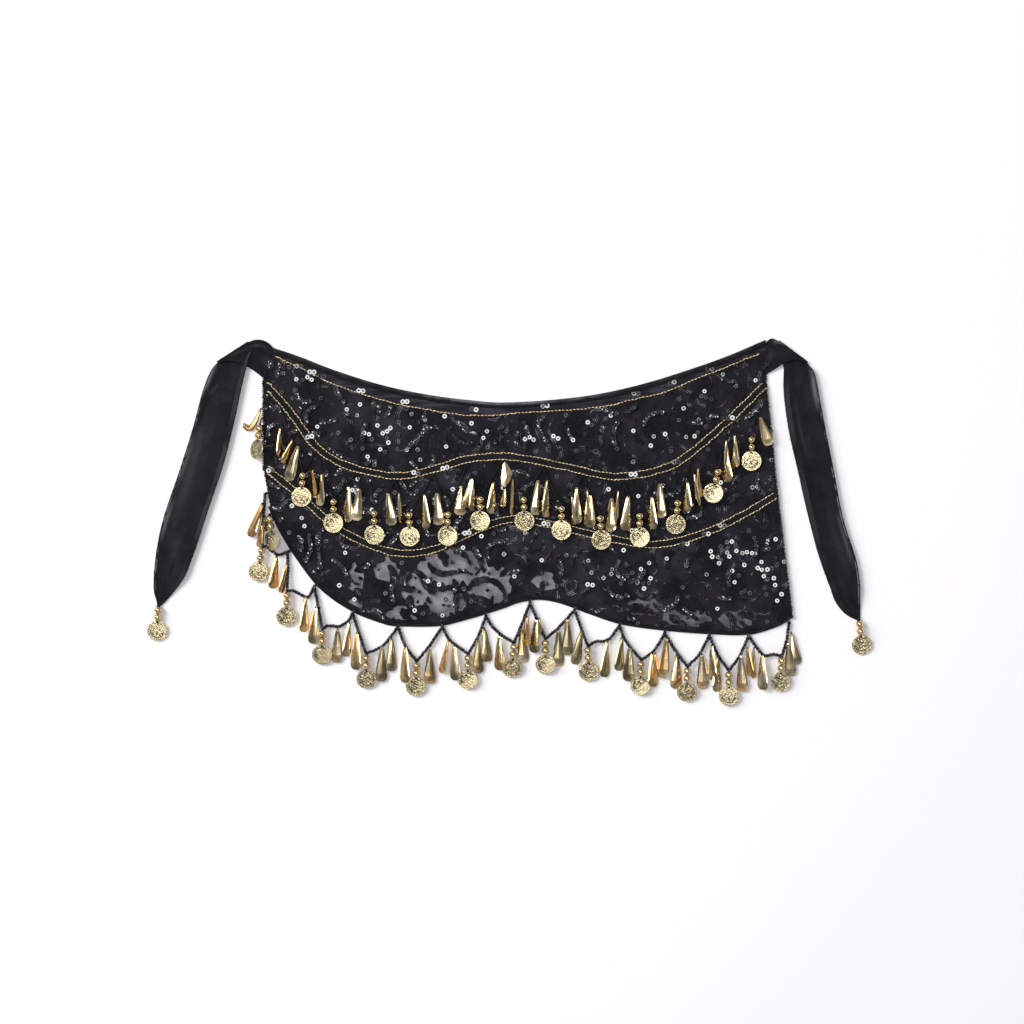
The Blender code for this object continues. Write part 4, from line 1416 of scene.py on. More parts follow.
def paillette_shape():
    """A stamped drop: a bevelled rim round a face with a ridge down it, cut off by a facet at
    its end; tip at 0, end at -Y 1."""
    edge = [(0.09, 0.0), (0.17, -0.06), (0.27, -0.24), (0.37, -0.46), (0.47, -0.70),
            (0.50, -0.83), (0.43, -0.93), (0.22, -0.987)]
    rim = edge + [(-x, y) for x, y in edge[::-1]]
    verts = [(x, y, 0.0) for x, y in rim]
    # stations down the face: how far along, half width, and height at its side
    stations = [(-0.06, 0.08, 0.04), (-0.27, 0.18, 0.055), (-0.50, 0.28, 0.06),
                (-0.76, 0.38, 0.055)]
    crown, columns = 0.055, (1.0, 0.5, 0.0, -0.5, -1.0)
    for y, half, side in stations:
        verts += [(half * share, y, side + crown * (1 - abs(share)**1.4)) for share in columns]
    foot = len(verts)
    verts += [(0.26, -0.90, 0.022), (-0.26, -0.90, 0.022)]
    count = len(rim)

    def at(station, column):
        return count + station * len(columns) + column

    top = [(at(k, c), at(k, c + 1), at(k + 1, c + 1), at(k + 1, c)) for k in range(3)
           for c in range(4)]
    top += [(at(3, 0), at(3, 1), foot), (at(3, 1), at(3, 2), at(3, 3), foot + 1, foot),
            (at(3, 3), at(3, 4), foot + 1)]
    # the bevel, down the right side and then mirrored
    right = [(0, 1, at(0, 0)), (1, 2, at(1, 0), at(0, 0)), (2, 3, at(2, 0), at(1, 0)),
             (3, 4, at(3, 0), at(2, 0)), (4, 5, at(3, 0)), (5, 6, foot, at(3, 0)), (6, 7, foot)]
    mirror = {at(k, 0): at(k, 4) for k in range(4)} | {foot: foot + 1}
    left = [tuple(mirror.get(v, count - 1 - v) for v in face)[::-1] for face in right]
    top += right + left + [(7, 8, foot + 1, foot), (count - 1, 0, *(at(0, c) for c in range(5)))]
    below = len(verts)
    verts += [(x, y, -FOIL / PAILLETTE_WIDTH) for x, y in rim]
    return verts, top + [tuple(range(below, below + count))] + wall(0, below, count)


# ---------------------------------------------------------------- coins and beads

def coin_lie(kind, x, y):
    """How far a coin of this kind stands off a flat one: a slight dome, slope and bend."""
    across, along, turn, bend, *_ = COIN_KINDS[kind - 1]
    over = x * math.cos(turn) + y * math.sin(turn)
    folded = math.sqrt(max(over + 1.0, 0.0)**2 + 1.0)
    dome = 0.30 * (1 - (x * x + y * y) / COIN_RADIUS**2)
    return dome + across * x + along * y + bend * (folded - 1.0)


def coin_grid(kind):
    """A struck coin: points, faces and each point's darkness, below nought for a painted highlight; round z = 0, up
    +Z.
    """
    rings, sides, middle = 21, 72, 6.9
    _, _, bend_turn, bend, relief_left, darkness = COIN_KINDS[kind - 1]

    def struck(x, y):
        """The coin's pattern from -1 to 1: a rosette, a row of dots and a plain border."""
        radius, angle = math.hypot(x, y), math.atan2(y, x)
        grain = (noise.noise((x / 0.8, y / 0.8, kind * 3.1))
                 + 0.5 * noise.noise((x / 0.45, y / 0.45, kind)))
        if radius < middle:
            lobes = math.cos(3 * (angle + kind * 1.7)) * math.cos(radius * 0.9 + kind)
            pattern = 0.30 * lobes + 1.1 * grain
        elif radius < 9.5:
            dots = 0.5 + 0.5 * math.cos(24 * angle)
            pattern = 0.8 * dots * math.exp(-((radius - 8.2) / 0.7)**2) + 0.9 * grain - 0.25
        else:
            pattern = 0.40 + 0.25 * grain
        return max(min(pattern - 0.4 * math.exp(-((radius - middle) / 0.35)**2), 1.0), -1.0)

    def upper_face(x, y):
        """A point of the upper face, and how dark it is made: less so on the raised half of the bend,
        whose relief is flattened and which takes a painted highlight.
        """
        pattern = struck(x, y)
        over = x * math.cos(bend_turn) + y * math.sin(bend_turn)
        # the raised half of the bend: its relief is flattened, and it takes a painted highlight
        wear_and_painted_light = min(bend / 0.10, 1.0) * 0.7 / (1.0 + math.exp(-(over - 1.0) / 0.8))
        eye = math.hypot(x, y - COIN_HOLE_FROM_CENTRE)
        rise = pattern * relief_left * (1.0 - wear_and_painted_light) - 0.8 * math.exp(-(eye / 0.8)**2)
        if math.hypot(x, y) > 9.7:
            rise *= 0.5
        # below nought on the raised half of the bend, where the painted highlight goes
        dark = min(max((0.20 - pattern) / 0.70, 0.0), 1.0) * darkness * (1.0 - wear_and_painted_light) - wear_and_painted_light
        return ((x, y, COIN_THICK * 0.35 + coin_lie(kind, x, y) + rise),
                max(dark, math.exp(-(eye / 0.9)**2)))

    spots = [(0.0, 0.0)]
    for ring in range(1, rings + 1):
        spots += circle(sides, COIN_RADIUS * (ring / rings))
    verts, hollow_and_painted_light = (list(column) for column in zip(*(upper_face(*spot) for spot in spots)))
    faces = [(0, 1 + side, 1 + (side + 1) % sides) for side in range(sides)]
    rim = 1 + (rings - 1) * sides
    for base in range(1, rim, sides):
        faces += turned_over(wall(base, base + sides, sides))
    for radius, z in ((COIN_RADIUS, -0.35), (9.6, -0.5), (9.0, -0.42), (5.0, -0.42)):
        faces += turned_over(wall(rim, len(verts), sides))
        rim = len(verts)
        verts += [(x, y, z + coin_lie(kind, x, y)) for x, y in circle(sides, radius)]
    faces += [(len(verts), rim + (side + 1) % sides, rim + side) for side in range(sides)]
    verts.append((0, 0, -0.42 + coin_lie(kind, 0, 0)))
    return verts, faces, hollow_and_painted_light + [0.1] * (len(verts) - len(hollow_and_painted_light))


def bead_grid(radius, sides=20, rings=12):
    """A bead bored along Z: points and faces."""
    bore = 0.16
    angles = np.linspace(bore, math.pi - bore, rings + 1)
    profile = [(radius * math.sin(a), radius * math.cos(a)) for a in angles]
    verts, faces = lathe(profile + [(radius * 0.12, radius * z) for z in (-0.86, 0.86)], sides)
    return verts, turned_over(faces)


def tube_grid(points, radius, sides=6):
    """A tube through points with closed ends: points and faces."""
    verts, faces = [], []
    line = [Vector(point) for point in points]
    for i, centre in enumerate(line):
        along = (line[min(i + 1, len(line) - 1)] - line[max(i - 1, 0)]).normalized()
        side_way = along.cross(Vector((0, 0, 1)))
        if side_way.length < 1e-3:
            side_way = along.cross(Vector((1, 0, 0)))
        side_way.normalize()
        other = along.cross(side_way)
        verts += [tuple(centre + (side_way * x + other * y) * radius) for x, y in circle(sides)]
    for base in range(0, len(verts) - sides, sides):
        faces += wall(base, base + sides, sides)
    ends = range(sides)
    return verts, faces + [tuple(ends)[::-1], tuple(len(verts) - sides + side for side in ends)]


def drop_frame(lean):
    """How a coin lies, its hole and its far bead, as in the CAD."""
    if lean:
        slope = 0.0
        centre = COIN_RADIUS * math.sin(math.radians(lean)) + COIN_THICK / 2
    else:
        slope = math.asin((BEAD_RADIUS - COIN_THICK / 2) / (COIN_RADIUS + COIN_HOLE_FROM_CENTRE))
        centre = BEAD_RADIUS - COIN_HOLE_FROM_CENTRE * math.sin(slope)
    turned = Matrix.Rotation(slope, 4, "X") @ Matrix.Rotation(-math.radians(lean), 4, "Y")
    lying = Matrix.Translation((0, 0, centre)) @ turned
    hole = lying @ Vector((0, COIN_HOLE_FROM_CENTRE, 0))
    return lying, hole, Vector((0, BEAD_FROM_COIN + BEAD_STEP, BEAD_RADIUS))


@functools.lru_cache(maxsize=None)
def drop_parts(lean, kind):
    """A coin, two beads, thread and knot as one set of points, faces, finishes and values of tarnish and painted
    light.
    """
    lying, hole, far_bead = drop_frame(lean)
    along = (far_bead - hole).normalized()
    near_bead = far_bead - along * BEAD_STEP
    aim = (far_bead - hole).to_track_quat("Z", "X").to_matrix().to_4x4()
    hole = lying @ Vector((0, COIN_HOLE_FROM_CENTRE, coin_lie(kind, 0, COIN_HOLE_FROM_CENTRE)))
    verts, faces, picks, hollow_and_painted_light = [], [], [], []

    def add(shape, matrix, pick, depth=None):
        """One more part with its finish and its values of tarnish and painted light, put in place by a matrix."""
        start = len(verts)
        verts.extend(tuple(matrix @ Vector(point)) for point in shape[0])
        faces.extend(tuple(v + start for v in face) for face in shape[1])
        picks.extend([pick] * len(shape[1]))
        hollow_and_painted_light.extend(depth or [0.0] * len(shape[0]))

    *coin, depth = coin_grid(kind)
    add(coin, lying, 0, depth)
    bead = bead_grid(BEAD_RADIUS)
    # painted shade on the lower part of each bead
    bead_shade = [min(max(0.95 - (aim @ Vector(point)).z / BEAD_RADIUS, 0.0) * 1.25, 1.0)**1.5
            for point in bead[0]]
    for centre in (near_bead, far_bead):
        add(bead, Matrix.Translation(centre) @ aim, 1, bead_shade)
    thread = [hole, hole.lerp(near_bead, 0.5), near_bead, far_bead,
              far_bead + along * (BEAD_RADIUS + 1.2)]
    add(tube_grid(thread, 0.42), Matrix(), 2)
    for centre in (hole + Vector((0, 0.1, 0.75)), far_bead + along * (BEAD_RADIUS + 0.7)):
        add(spindle(2.2, 2.0, 2.0, 8, 6), Matrix.Translation(centre), 2)
    return np.array(verts), faces, picks, hollow_and_painted_light


def drop(name, spot, height, kind, lean=0.0, plate="coin"):
    """One coin drop in its CAD node's place."""
    verts, faces, picks, hollow_and_painted_light = drop_parts(lean, kind)
    x, y, swing = spot
    matrix = Matrix.Translation((x, y, height)) @ Matrix.Rotation(-math.radians(swing), 4, "Z")
    turn = np.array(matrix)
    piece = mesh_piece("coin_" + name, verts @ turn[:3, :3].T + turn[:3, 3], faces,
                       [plate, "bead", "black_thread"], attributes={"hollow_and_painted_light": hollow_and_painted_light},
                       picks=picks)
    return register_piece(piece, "coin", "drop_" + name)


def bead_top(spot, height):
    """Where a drop's thread leaves its far bead."""
    x, y, swing = spot
    reach = BEAD_FROM_COIN + BEAD_STEP + BEAD_RADIUS + 0.6
    angle = math.radians(swing)
    return (x + math.sin(angle) * reach, y + math.cos(angle) * reach, height + BEAD_RADIUS)


# ---------------------------------------------------------------- settings

# one call of these makes one setting of the sidebar
def a_colour(name, description, default):
    return FloatVectorProperty(name=name, description=description, subtype="COLOR",
                               default=default)


def a_length(name, description, default):
    return FloatProperty(name=name, description=description, default=default, unit="LENGTH")


def an_amount(name, description, default):
    return FloatProperty(name=name, description=description, default=default, min=0.0)


class HipScarfSizes(bpy.types.PropertyGroup):
    """Sizes of what is sewn on."""
    stitch_pitch: a_length("Stitch pitch", "From one gold stitch to the next", 3.7 * MM)
    ring_diameter: a_length("Ring sequin", "Diameter of a ring sequin", 4.5 * MM)
    ring_hole: a_length("Ring hole", "Diameter of a ring sequin's hole", 1.8 * MM)
    thread_strand: a_length("Thread strand", "Radius of one strand of thread", 0.92 * MM)
    overlock_pitch: a_length("Overlock pitch", "Between edge stitches", 1.9 * MM)
    columns: IntProperty(name="Cloth columns", description="Grid columns of each panel",
                         default=380, min=40, max=400)
    seed: IntProperty(name="Seed", description="Seed of the scattered sequins", default=12)


class HipScarfLook(bpy.types.PropertyGroup):
    """Colours of cloth, thread and metal."""
    cloth_colour: a_colour("Cloth", "Black net cloth", (0.0094, 0.0088, 0.0114))
    net_colour: a_colour("Net", "Net threads", (0.036, 0.032, 0.044))
    tape_colour: a_colour("Tape", "Couched tape", (0.0056, 0.0053, 0.0066))
    tape_glint_colour: a_colour("Tape glint", "Ribs of the tape", (0.085, 0.083, 0.092))
    band_colour: a_colour("Band", "Smooth bands", (0.0062, 0.0058, 0.0072))
    chiffon_colour: a_colour("Chiffon", "Ties", (0.0084, 0.0080, 0.0104))
    single_colour: a_colour("Single chiffon", "Chiffon one layer deep", (0.042, 0.040, 0.048))
    glow_colour: a_colour("Chiffon glow", "Rolled edge in the light", (0.17, 0.17, 0.19))
    edge_shine: an_amount("Edge shine", "Light line along the ties' edge", 0.75)
    thread_colour: a_colour("Black thread", "Fringe and edge thread", (0.014, 0.014, 0.017))
    stitch_colour: a_colour("Stitches", "Gold thread", (1.0, 0.74, 0.37))
    coin_colour: a_colour("Coins", "Pale gold plate", (0.92, 0.78, 0.47))
    bead_colour: a_colour("Beads", "Warm gold plate", (1.0, 0.80, 0.42))
    # painted shade on the lower part of the beads
    bead_shade_colour: a_colour("Bead sides", "Gold plate low on the beads", (0.50, 0.27, 0.06))
    # the painted highlight on the raised half of a coin's bend
    painted_highlight_colour: a_colour("Polished", "Coins rubbed smooth", (1.0, 0.94, 0.70))
    paillette_colour: a_colour("Paillettes", "Pale gold foil", (0.88, 0.74, 0.45))
    # the same foil as the hem paillettes, painted brighter on the upper paillettes as painted light
    lit_foil_colour: a_colour("Upper paillettes", "Bright gold foil", (0.98, 0.83, 0.50))
    # the colour of the paillettes' patches of painted dark reflection
    dark_reflection_colour: a_colour("Dull paillettes", "Olive gold foil", (0.42, 0.36, 0.20))
    warm_colour: a_colour("Warm paillettes", "Orange gold foil", (0.88, 0.56, 0.24))
    tarnish_colour: a_colour("Tarnish", "Hollows of the coins", (0.050, 0.040, 0.020))


class HipScarfStudio(bpy.types.PropertyGroup):
    """Light and camera."""
    overhead_power: an_amount("Overhead power", "Softbox above, in watts", 18.5)
    key_power: an_amount("Key power", "Softbox from the left, in watts", 42.0)
    window_power: an_amount("Window power", "Broad low light, in watts", 650.0)
    world_strength: an_amount("Room light", "Strength of the room's light", 0.60)
    camera_height: a_length("Camera height", "Straight above the scarf", 2.418)


# ---------------------------------------------------------------- operators

class HIPSCARF_OT_stage(bpy.types.Operator):
    """Make the pale floor, the soft light and the camera straight above"""
    bl_idname = "hip_scarf.make_stage"
    bl_label = "Stage"

    def execute(self, context):
        studio = context.scene.hip_scarf_studio
        context.scene.view_settings.view_transform = "Standard"
        half, depth = 6.0, -0.0002
        mesh = bpy.data.meshes.new("floor")
        mesh.from_pydata([(-half, -half, depth), (half, -half, depth), (half, half, depth),
                          (-half, half, depth)], [], [(0, 1, 2, 3)])
        paper = Finish("floor_paper", (0.91, 0.905, 0.90), 0.9, Specular_IOR_Level=0.2)
        tone = paper.mix(paper.speckle(3.0), (0.905, 0.90, 0.895), (0.92, 0.915, 0.91))
        mesh.materials.append(paper.feed(Base_Color=tone))
        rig.stage(linked("floor", mesh))

        def softbox(name, power, size, place, colour, target=(0, 0, 0)):
            data = bpy.data.lights.new(name, "AREA")
            data.energy, data.shape, data.color = power, "RECTANGLE", colour
            data.size, data.size_y = size
            lamp = linked(name, data)
            lamp.location = place
            towards = Vector(target) - Vector(place)
            lamp.rotation_euler = towards.to_track_quat("-Z", "Y").to_euler()
            lamp.visible_camera = False
            return lamp

        softbox("overhead", studio.overhead_power, (1.1, 0.95), (0.0, 0.05, 2.7),
                (1.0, 0.99, 0.985), target=(0, 0.05, 0))
        softbox("key", studio.key_power, (1.2, 1.2), (-2.6, 1.6, 3.0), (1.0, 0.99, 0.97))
        # the window is broad and low, for the soft shadows of the cloth's edges
        window = softbox("window", studio.window_power, (5.1, 5.1), (-6.0, 3.15, 4.2),
                         (1.0, 0.99, 0.98))
        window.visible_glossy = False

        # the room: pale below and overhead, darker at the sides
        world = bpy.data.worlds.new("room")
        context.scene.world = world
        world.use_nodes = True
        room = Nodes(world.node_tree)
        place = room.node("ShaderNodeTexCoord", out="Generated")
        up = room.node("ShaderNodeSeparateXYZ", None, {0: place}, out="Z")
        ramp = room.node("ShaderNodeValToRGB", None, {0: up})
        stops = [(0.0, (0.84, 0.84, 0.92, 1)), (0.34, (0.74, 0.74, 0.82, 1)),
                 (0.55, (0.21, 0.21, 0.235, 1)), (0.72, (0.19, 0.19, 0.215, 1)),
                 (0.86, (0.55, 0.55, 0.62, 1)), (1.0, (0.90, 0.90, 1.0, 1))]
        elements = ramp.socket.node.color_ramp.elements
        for element, stop in zip(elements, (stops[0], stops[-1])):
            element.position, element.color = stop
        for position, shade in stops[1:-1]:
            elements.new(position).color = shade
        background = world.node_tree.nodes["Background"].inputs
        world.node_tree.links.new(ramp.socket, background["Color"])
        background["Strength"].default_value = studio.world_strength

        lens = bpy.data.cameras.new("camera")
        lens.sensor_width, lens.lens = 36.0, 85.0
        camera = linked("camera", lens)
        camera.location = (0.0025, 0.010, studio.camera_height)
        context.scene.camera = camera
        return {"FINISHED"}


class HIPSCARF_OT_panels(bpy.types.Operator):
    """Make the two panels of embroidered net"""
    bl_idname = "hip_scarf.make_panels"
    bl_label = "Panels"

    def execute(self, context):
        columns = context.scene.hip_scarf_sizes.columns
        lap = 0.9       # how far a panel reaches in under its binding
        panel("body_cloth", "body_panel", [(WAIST_LINE, lap - WAIST_BINDING_WIDTH),
                                           (UPPER_LINE, 0.0), (LOWER_LINE, SEAM_GAP / 2)],
              (50, 62), columns, 1.0)
        panel("lower_cloth", "lower_panel", [(LOWER_LINE, -SEAM_GAP / 2),
                                             (HEM_LINE, HEM_BINDING_WIDTH - lap)],
              (60,), columns, 4.0)
        return {"FINISHED"}


class HIPSCARF_OT_bands(bpy.types.Operator):
    """Make the sewn bands and the bindings of waist and hem"""
    bl_idname = "hip_scarf.make_bands"
    bl_label = "Bands and bindings"

    def execute(self, context):
        # sections across a strip: share of its width, height over its base
        flat = [(0.0, 0.55), (0.03, 0.95), (0.10, 0.72), (0.18, 0.98), (0.35, 1.02), (0.5, 0.98),
                (0.65, 1.02), (0.82, 0.98), (0.90, 0.72), (0.97, 0.95), (1.0, 0.55)]
        rolled = [(0.0, 0.5), (0.02, 1.2), (0.08, 1.75), (0.18, 2.1), (0.35, 2.18), (0.55, 2.05),
                  (0.75, 2.12), (0.9, 1.9), (0.97, 1.5), (1.0, 0.8)]
        rounded = [(0.0, 0.5), (0.08, 1.2), (0.25, 1.65), (0.5, 1.76), (0.75, 1.65), (0.92, 1.2),
                   (1.0, 0.5)]

        def painted_edge_highlight(x, across):
            """Where a highlight is painted along the waist's rolled edge."""
            long = rising(x, -120, -50) * (1 - rising(x, 40, 120))
            line = rising(across, 0.3, 0.8) * (1 - rising(across, 1.7, 2.7))
            return (long * 0.75 + 0.12) * line

        half = BAND_WIDTH / 2
        for node, line in (("upper_band", UPPER_LINE), ("lower_band", LOWER_LINE)):
            strip(node + "_cloth", node, "band_cloth", line, (half, -half), PANEL_TOP, flat, 300)
        strip("waist_trim", "waist_binding", "chiffon", WAIST_LINE, (0.0, -WAIST_BINDING_WIDTH),
              UNDERSIDE, rolled, 300, painted_edge_highlight)
        strip("hem_trim", "hem_binding", "chiffon", HEM_LINE, (HEM_BINDING_WIDTH, 0.0),
              UNDERSIDE, rounded, 320)
        return {"FINISHED"}


class HIPSCARF_OT_ties(bpy.types.Operator):
    """Make the two chiffon ties"""
    bl_idname = "hip_scarf.make_ties"
    bl_label = "Ties"

    def execute(self, context):
        tie("tie_left_ribbon", "tie_left", LEFT_TIE_OVER, LEFT_TIE_UNDER, LEFT_TIE_CREASES,
            LEFT_TIE_TONES, 18.0, False)
        tie("tie_right_ribbon", "tie_right", RIGHT_TIE_OVER, RIGHT_TIE_UNDER, RIGHT_TIE_CREASES,
            RIGHT_TIE_TONES, 14.0, True)
        return {"FINISHED"}


class HIPSCARF_OT_stitches(bpy.types.Operator):
    """Sew the gold stitches, and the black stitches over the side edges"""
    bl_idname = "hip_scarf.make_stitches"
    bl_label = "Stitches"

    def execute(self, context):
        sizes = context.scene.hip_scarf_sizes
        shares = np.linspace(0.011, 0.993, 260)
        inset = 0.55    # from a band's edge
        lines = []
        for line in (UPPER_LINE, LOWER_LINE):
            for side in (1, -1):
                drift = [0.8 * noise.noise((s * line.length / 10, side, line.length))
                         for s in shares]
                flat = line.beside(shares, side * (BAND_WIDTH / 2 - inset) + np.array(drift))
                lines.append([(x, y, BAND_TOP + 0.08 + curl(x, y)) for x, y in flat
                              if x > STITCHES_LEFT_END])
        flat = WAIST_STITCH_LINE.at(np.linspace(0.003, 0.993, 260))
        flat[:, 1] += [noise.noise((s * 44, 1, 4)) for s in shares]
        lines.append(np.column_stack((flat, surface(flat) + 0.3)))
        # each row starts with a double stitch
        knots = [[(x - 0.9, y + 0.4, z + 0.3), (x + 1.6, y - 0.5, z + 0.3)]
                 for x, y, z in (line[0] for line in lines)]
        grow("gold_stitches", polylines(lines + knots), row_of_stitches(), "band_cloth",
             finish="gold_thread", shape=spindle(3.8, 1.0, 0.95, 6, 5),
             Pitch=sizes.stitch_pitch, Wander=0.34, Seed=sizes.seed)

        # short black stitches wrap the side edges of the panels
        edges = []
        for end in ([0.0], [1.0]):
            corners = [WAIST_LINE.beside(end, -WAIST_BINDING_WIDTH)[0], UPPER_LINE.at(end)[0],
                       LOWER_LINE.at(end)[0], HEM_LINE.beside(end, HEM_BINDING_WIDTH)[0]]
            edges.append([(x, y, 1.3 + curl(x, y)) for a, b in zip(corners, corners[1:])
                          for x, y in np.linspace(a, b, 60)[:-1]])
        verts, faces = spindle(3.5, 1.3, 1.2, 5, 4)
        crosswise = [(y, x, z) for x, y, z in verts], turned_over(faces)
        grow("overlock_stitches", polylines(edges), row_of_stitches(), "sequin_mesh",
             finish="black_thread", shape=crosswise, Pitch=sizes.overlock_pitch, Wander=0.8,
             Seed=sizes.seed + 1)
        return {"FINISHED"}


def chain_rings(draw):
    """Rings laid over each other along part of a scroll: x, y, tilt x, tilt y, size."""
    rows = embroidery()[1]
    chained = []
    for number in range(int(rows[:, 5].max()) + 1):
        scroll = rows[rows[:, 5] == number]
        pick, start, share = draw.random(), draw.random(), draw.uniform(0.45, 0.9)
        if len(scroll) < 14 or pick > (0.82 if scroll[0, 0] < -60 else 0.44):
            continue
        first = int(start * (1 - share) * len(scroll))
        side = draw.choice((-0.5, 0.0, 0.5))
        raised = draw.uniform(0.24, 0.38 if scroll[0, 0] < -40 else 0.55)
        for x, y, angle, half in scroll[first:first + int(share * len(scroll)):2, :4]:
            if draw.random() < (0.12 if off_net(x, y) > 1.0 else 0.86):
                continue
            x += -math.sin(angle) * side * half + draw.gauss(0, 0.15)
            y += math.cos(angle) * side * half + draw.gauss(0, 0.15)
            lean = draw.gauss(raised, 0.06)
            chained.append((x, y, draw.gauss(0, 0.06) + math.sin(angle) * lean,
                            draw.gauss(0, 0.06) - math.cos(angle) * lean,
                            draw.uniform(0.86, 1.04)))
    return np.array(chained)


def loose_rings(draw):
    """Rings in groups and alone: x, y, tilt x, tilt y, size."""
    spots, alone = [], []       # x, y, how much it tilts

    def clear(x, y, others, gap):
        return all(math.hypot(x - other[0], y - other[1]) > gap for other in others)

    for x, y, radius, count in RING_GROUPS:
        for _ in range(count):
            angle, far = draw.uniform(0, 2 * math.pi), radius * math.sqrt(draw.random())
            spot = (x + math.cos(angle) * far, y + math.sin(angle) * far)
            if clear(*spot, spots, RING_GAP):
                spots.append((*spot, 0.065))
    for _ in range(4200):
        spot = (draw.uniform(-262, 290), draw.uniform(-112, 172))
        if clear(*spot, alone, LONE_RING_GAP) and clear(*spot, spots, RING_GAP):
            alone.append(spot)
            spots.append((*spot, 0.10))
    return np.array([(x, y, draw.gauss(0, tilt), draw.gauss(0, tilt), draw.uniform(0.9, 1.03))
                     for x, y, tilt in spots if off_net(x, y) > 0.9 or draw.random() < 0.3])


def paired_rings(draw):
    """Rings in pairs on the smooth strips: x, y, tilt x, tilt y, size."""
    return [(x + side, y + draw.uniform(-0.8, 0.8), draw.gauss(0, 0.07), draw.gauss(0, 0.07), 1.08)
            for x, y in RING_PAIRS for side in (-2.1, 2.1)]


def on_cloth(table):
    """Rows whose ring lies on the embroidered cloth, clear of bands and edges."""
    points, shares = table[:, :2], np.linspace(0, 1, 300)
    bands = np.concatenate([line.at(shares) for line in (UPPER_LINE, LOWER_LINE)])
    keep = inside(points, outline()) & (nearest(points, bands) > BAND_WIDTH / 2 + 2.6)
    return table[keep & (points[:, 1] < WAIST_STITCH_LINE.height_at(points[:, 0], 300) - 3.0)]


class HIPSCARF_OT_rings(bpy.types.Operator):
    """Sew the ring sequins, in chains along the tape, in groups, alone and in pairs"""
    bl_idname = "hip_scarf.make_rings"
    bl_label = "Ring sequins"

    def execute(self, context):
        sizes = context.scene.hip_scarf_sizes
        draw = random.Random(sizes.seed)
        chained, loose = on_cloth(chain_rings(draw)), on_cloth(loose_rings(draw))
        loose = np.concatenate((loose, paired_rings(draw)))
        outer, hole = sizes.ring_diameter / MM / 2, sizes.ring_hole / MM / 2
        for name, finish, table, cup in (("ring_sequins", "ring", loose, 0.0),
                                         ("chain_sequins", "chain_ring", chained, 0.42)):
            places, tilts = table[:, :2], table[:, 2:4]
            height = surface(places) + 0.2 + outer * 0.8 * np.hypot(*tilts.T)
            height += [draw.uniform(0, 0.3) for _ in table]
            cloud = point_cloud(np.column_stack((places, height)),
                                np.column_stack((tilts, np.arange(len(table)) % 7)),
                                np.repeat(table[:, 4:5], 3, axis=1))
            grow(name, cloud, placed_shapes(), "sequin_mesh", finish=finish, flat=True,
                 shape=ring_shape(outer, hole, 0.25, 12, cup), Tilt=0.02, Seed=sizes.seed)
        return {"FINISHED"}


def rounded_line(points, steps=8):
    """A smooth, slightly uneven line through a few xyz points."""
    table = np.array(points, float)
    run = run_along(table)
    at = np.linspace(0, run[-1], steps * (len(table) - 1) + 1)
    line = smooth_between(table, run, np.gradient(table, run, axis=0), at, ease=0.7)
    for row in line[1:-1]:
        x, y = row[:2] / 3
        row[:2] += (0.6 * noise.noise((x, y, 1)), 0.6 * noise.noise((x, y, 8)))
    return line


class HIPSCARF_OT_threads(bpy.types.Operator):
    """Twist the fringe's black threads between their hooks and the drops"""
    bl_idname = "hip_scarf.make_threads"
    bl_label = "Fringe threads"

    def execute(self, context):
        strand = context.scene.hip_scarf_sizes.thread_strand

        def twist(name, lines, finish, radius, lay):
            grow(name, polylines([rounded_line(line) for line in lines]), twisted_thread(),
                 "fringe", finish=finish, Strand=radius, Lay=lay * MM, Step=0.9 * MM)

        # the height of a thread's middle when it lies on the floor
        low = 2.06 * strand / MM
        hem = []
        for spot, (left, left_bends, right, right_bends) in zip(HEM_DROPS, HEM_ARMS):
            end = bead_top(spot, ON_HEM_FRINGE)
            for hook, bends in ((left, left_bends), (right, right_bends[::-1])):
                rise = (end[2] - low) * 0.5 / (len(bends) + 1)
                hem.append([(*HEM_HOOKS[hook], low), *(
                    (*bend, low + 0.1 + rise * k) for k, bend in enumerate(bends, start=1)), end])
        # the corner's drop hangs straight from the hem
        hem.append([(-237.5, 9.0, low), (-239, 7.0, low + 0.6),
                    bead_top(CORNER_DROP, ON_HEM_FRINGE)])
        shares = np.linspace(0, 1, 400)
        for number, hook in enumerate(HEM_HOOKS):
            near = shares[np.argmin(np.linalg.norm(HEM_LINE.at(shares) - hook, axis=1))]
            # the first hook is sewn to the side edge, the others to the hem
            foot = HEM_LINE.beside([near], 1.4)[0] if number else np.array((-240.4, 29.5))
            between = foot * 0.4 + np.array(hook) * 0.6
            hem.append([(*foot, low + 0.2), (*between, low + 0.1), (*hook, low)])
        twist("hem_fringe_threads", hem, "thread_painted_glints", strand, 6.4)

        upper = []
        for i, spot in enumerate(UPPER_DROPS):
            end = bead_top(spot, ON_UPPER_FRINGE)
            for x in UPPER_EXITS[i:i + 2]:
                y = UPPER_LINE.height_at(x) - BAND_WIDTH / 2 - 0.6
                line = [(x, y, PANEL_TOP + 1.0)]
                for share in (0.35, 0.7):
                    place = (x + (end[0] - x) * share,
                             y + (end[1] - y) * share - 2.0 * math.sin(math.pi * share))
                    line.append((*place, surface(np.array([place]))[0] + 0.9))
                upper.append(line + [end])
        # the side edge's drop hangs straight from the edge
        upper.append([(-247.5, 104, 2.2), (-248.8, 100.5, 3.2),
                      bead_top(EDGE_DROP, EDGE_DROP_HEIGHT)])
        twist("upper_fringe_threads", upper, "black_thread", strand * 0.48, 3.4)

        ties = [[(-350.8, -82.5, low), (-350.9, -84.5, low + 0.3), bead_top(LEFT_TIE_DROP, 0.0)],
                [(349.2, -96.0, low), (349.2, -98.5, low + 0.3), bead_top(RIGHT_TIE_DROP, 0.0)]]
        twist("tie_drop_threads", ties, "thread_painted_glints", strand, 4.0)
        return {"FINISHED"}


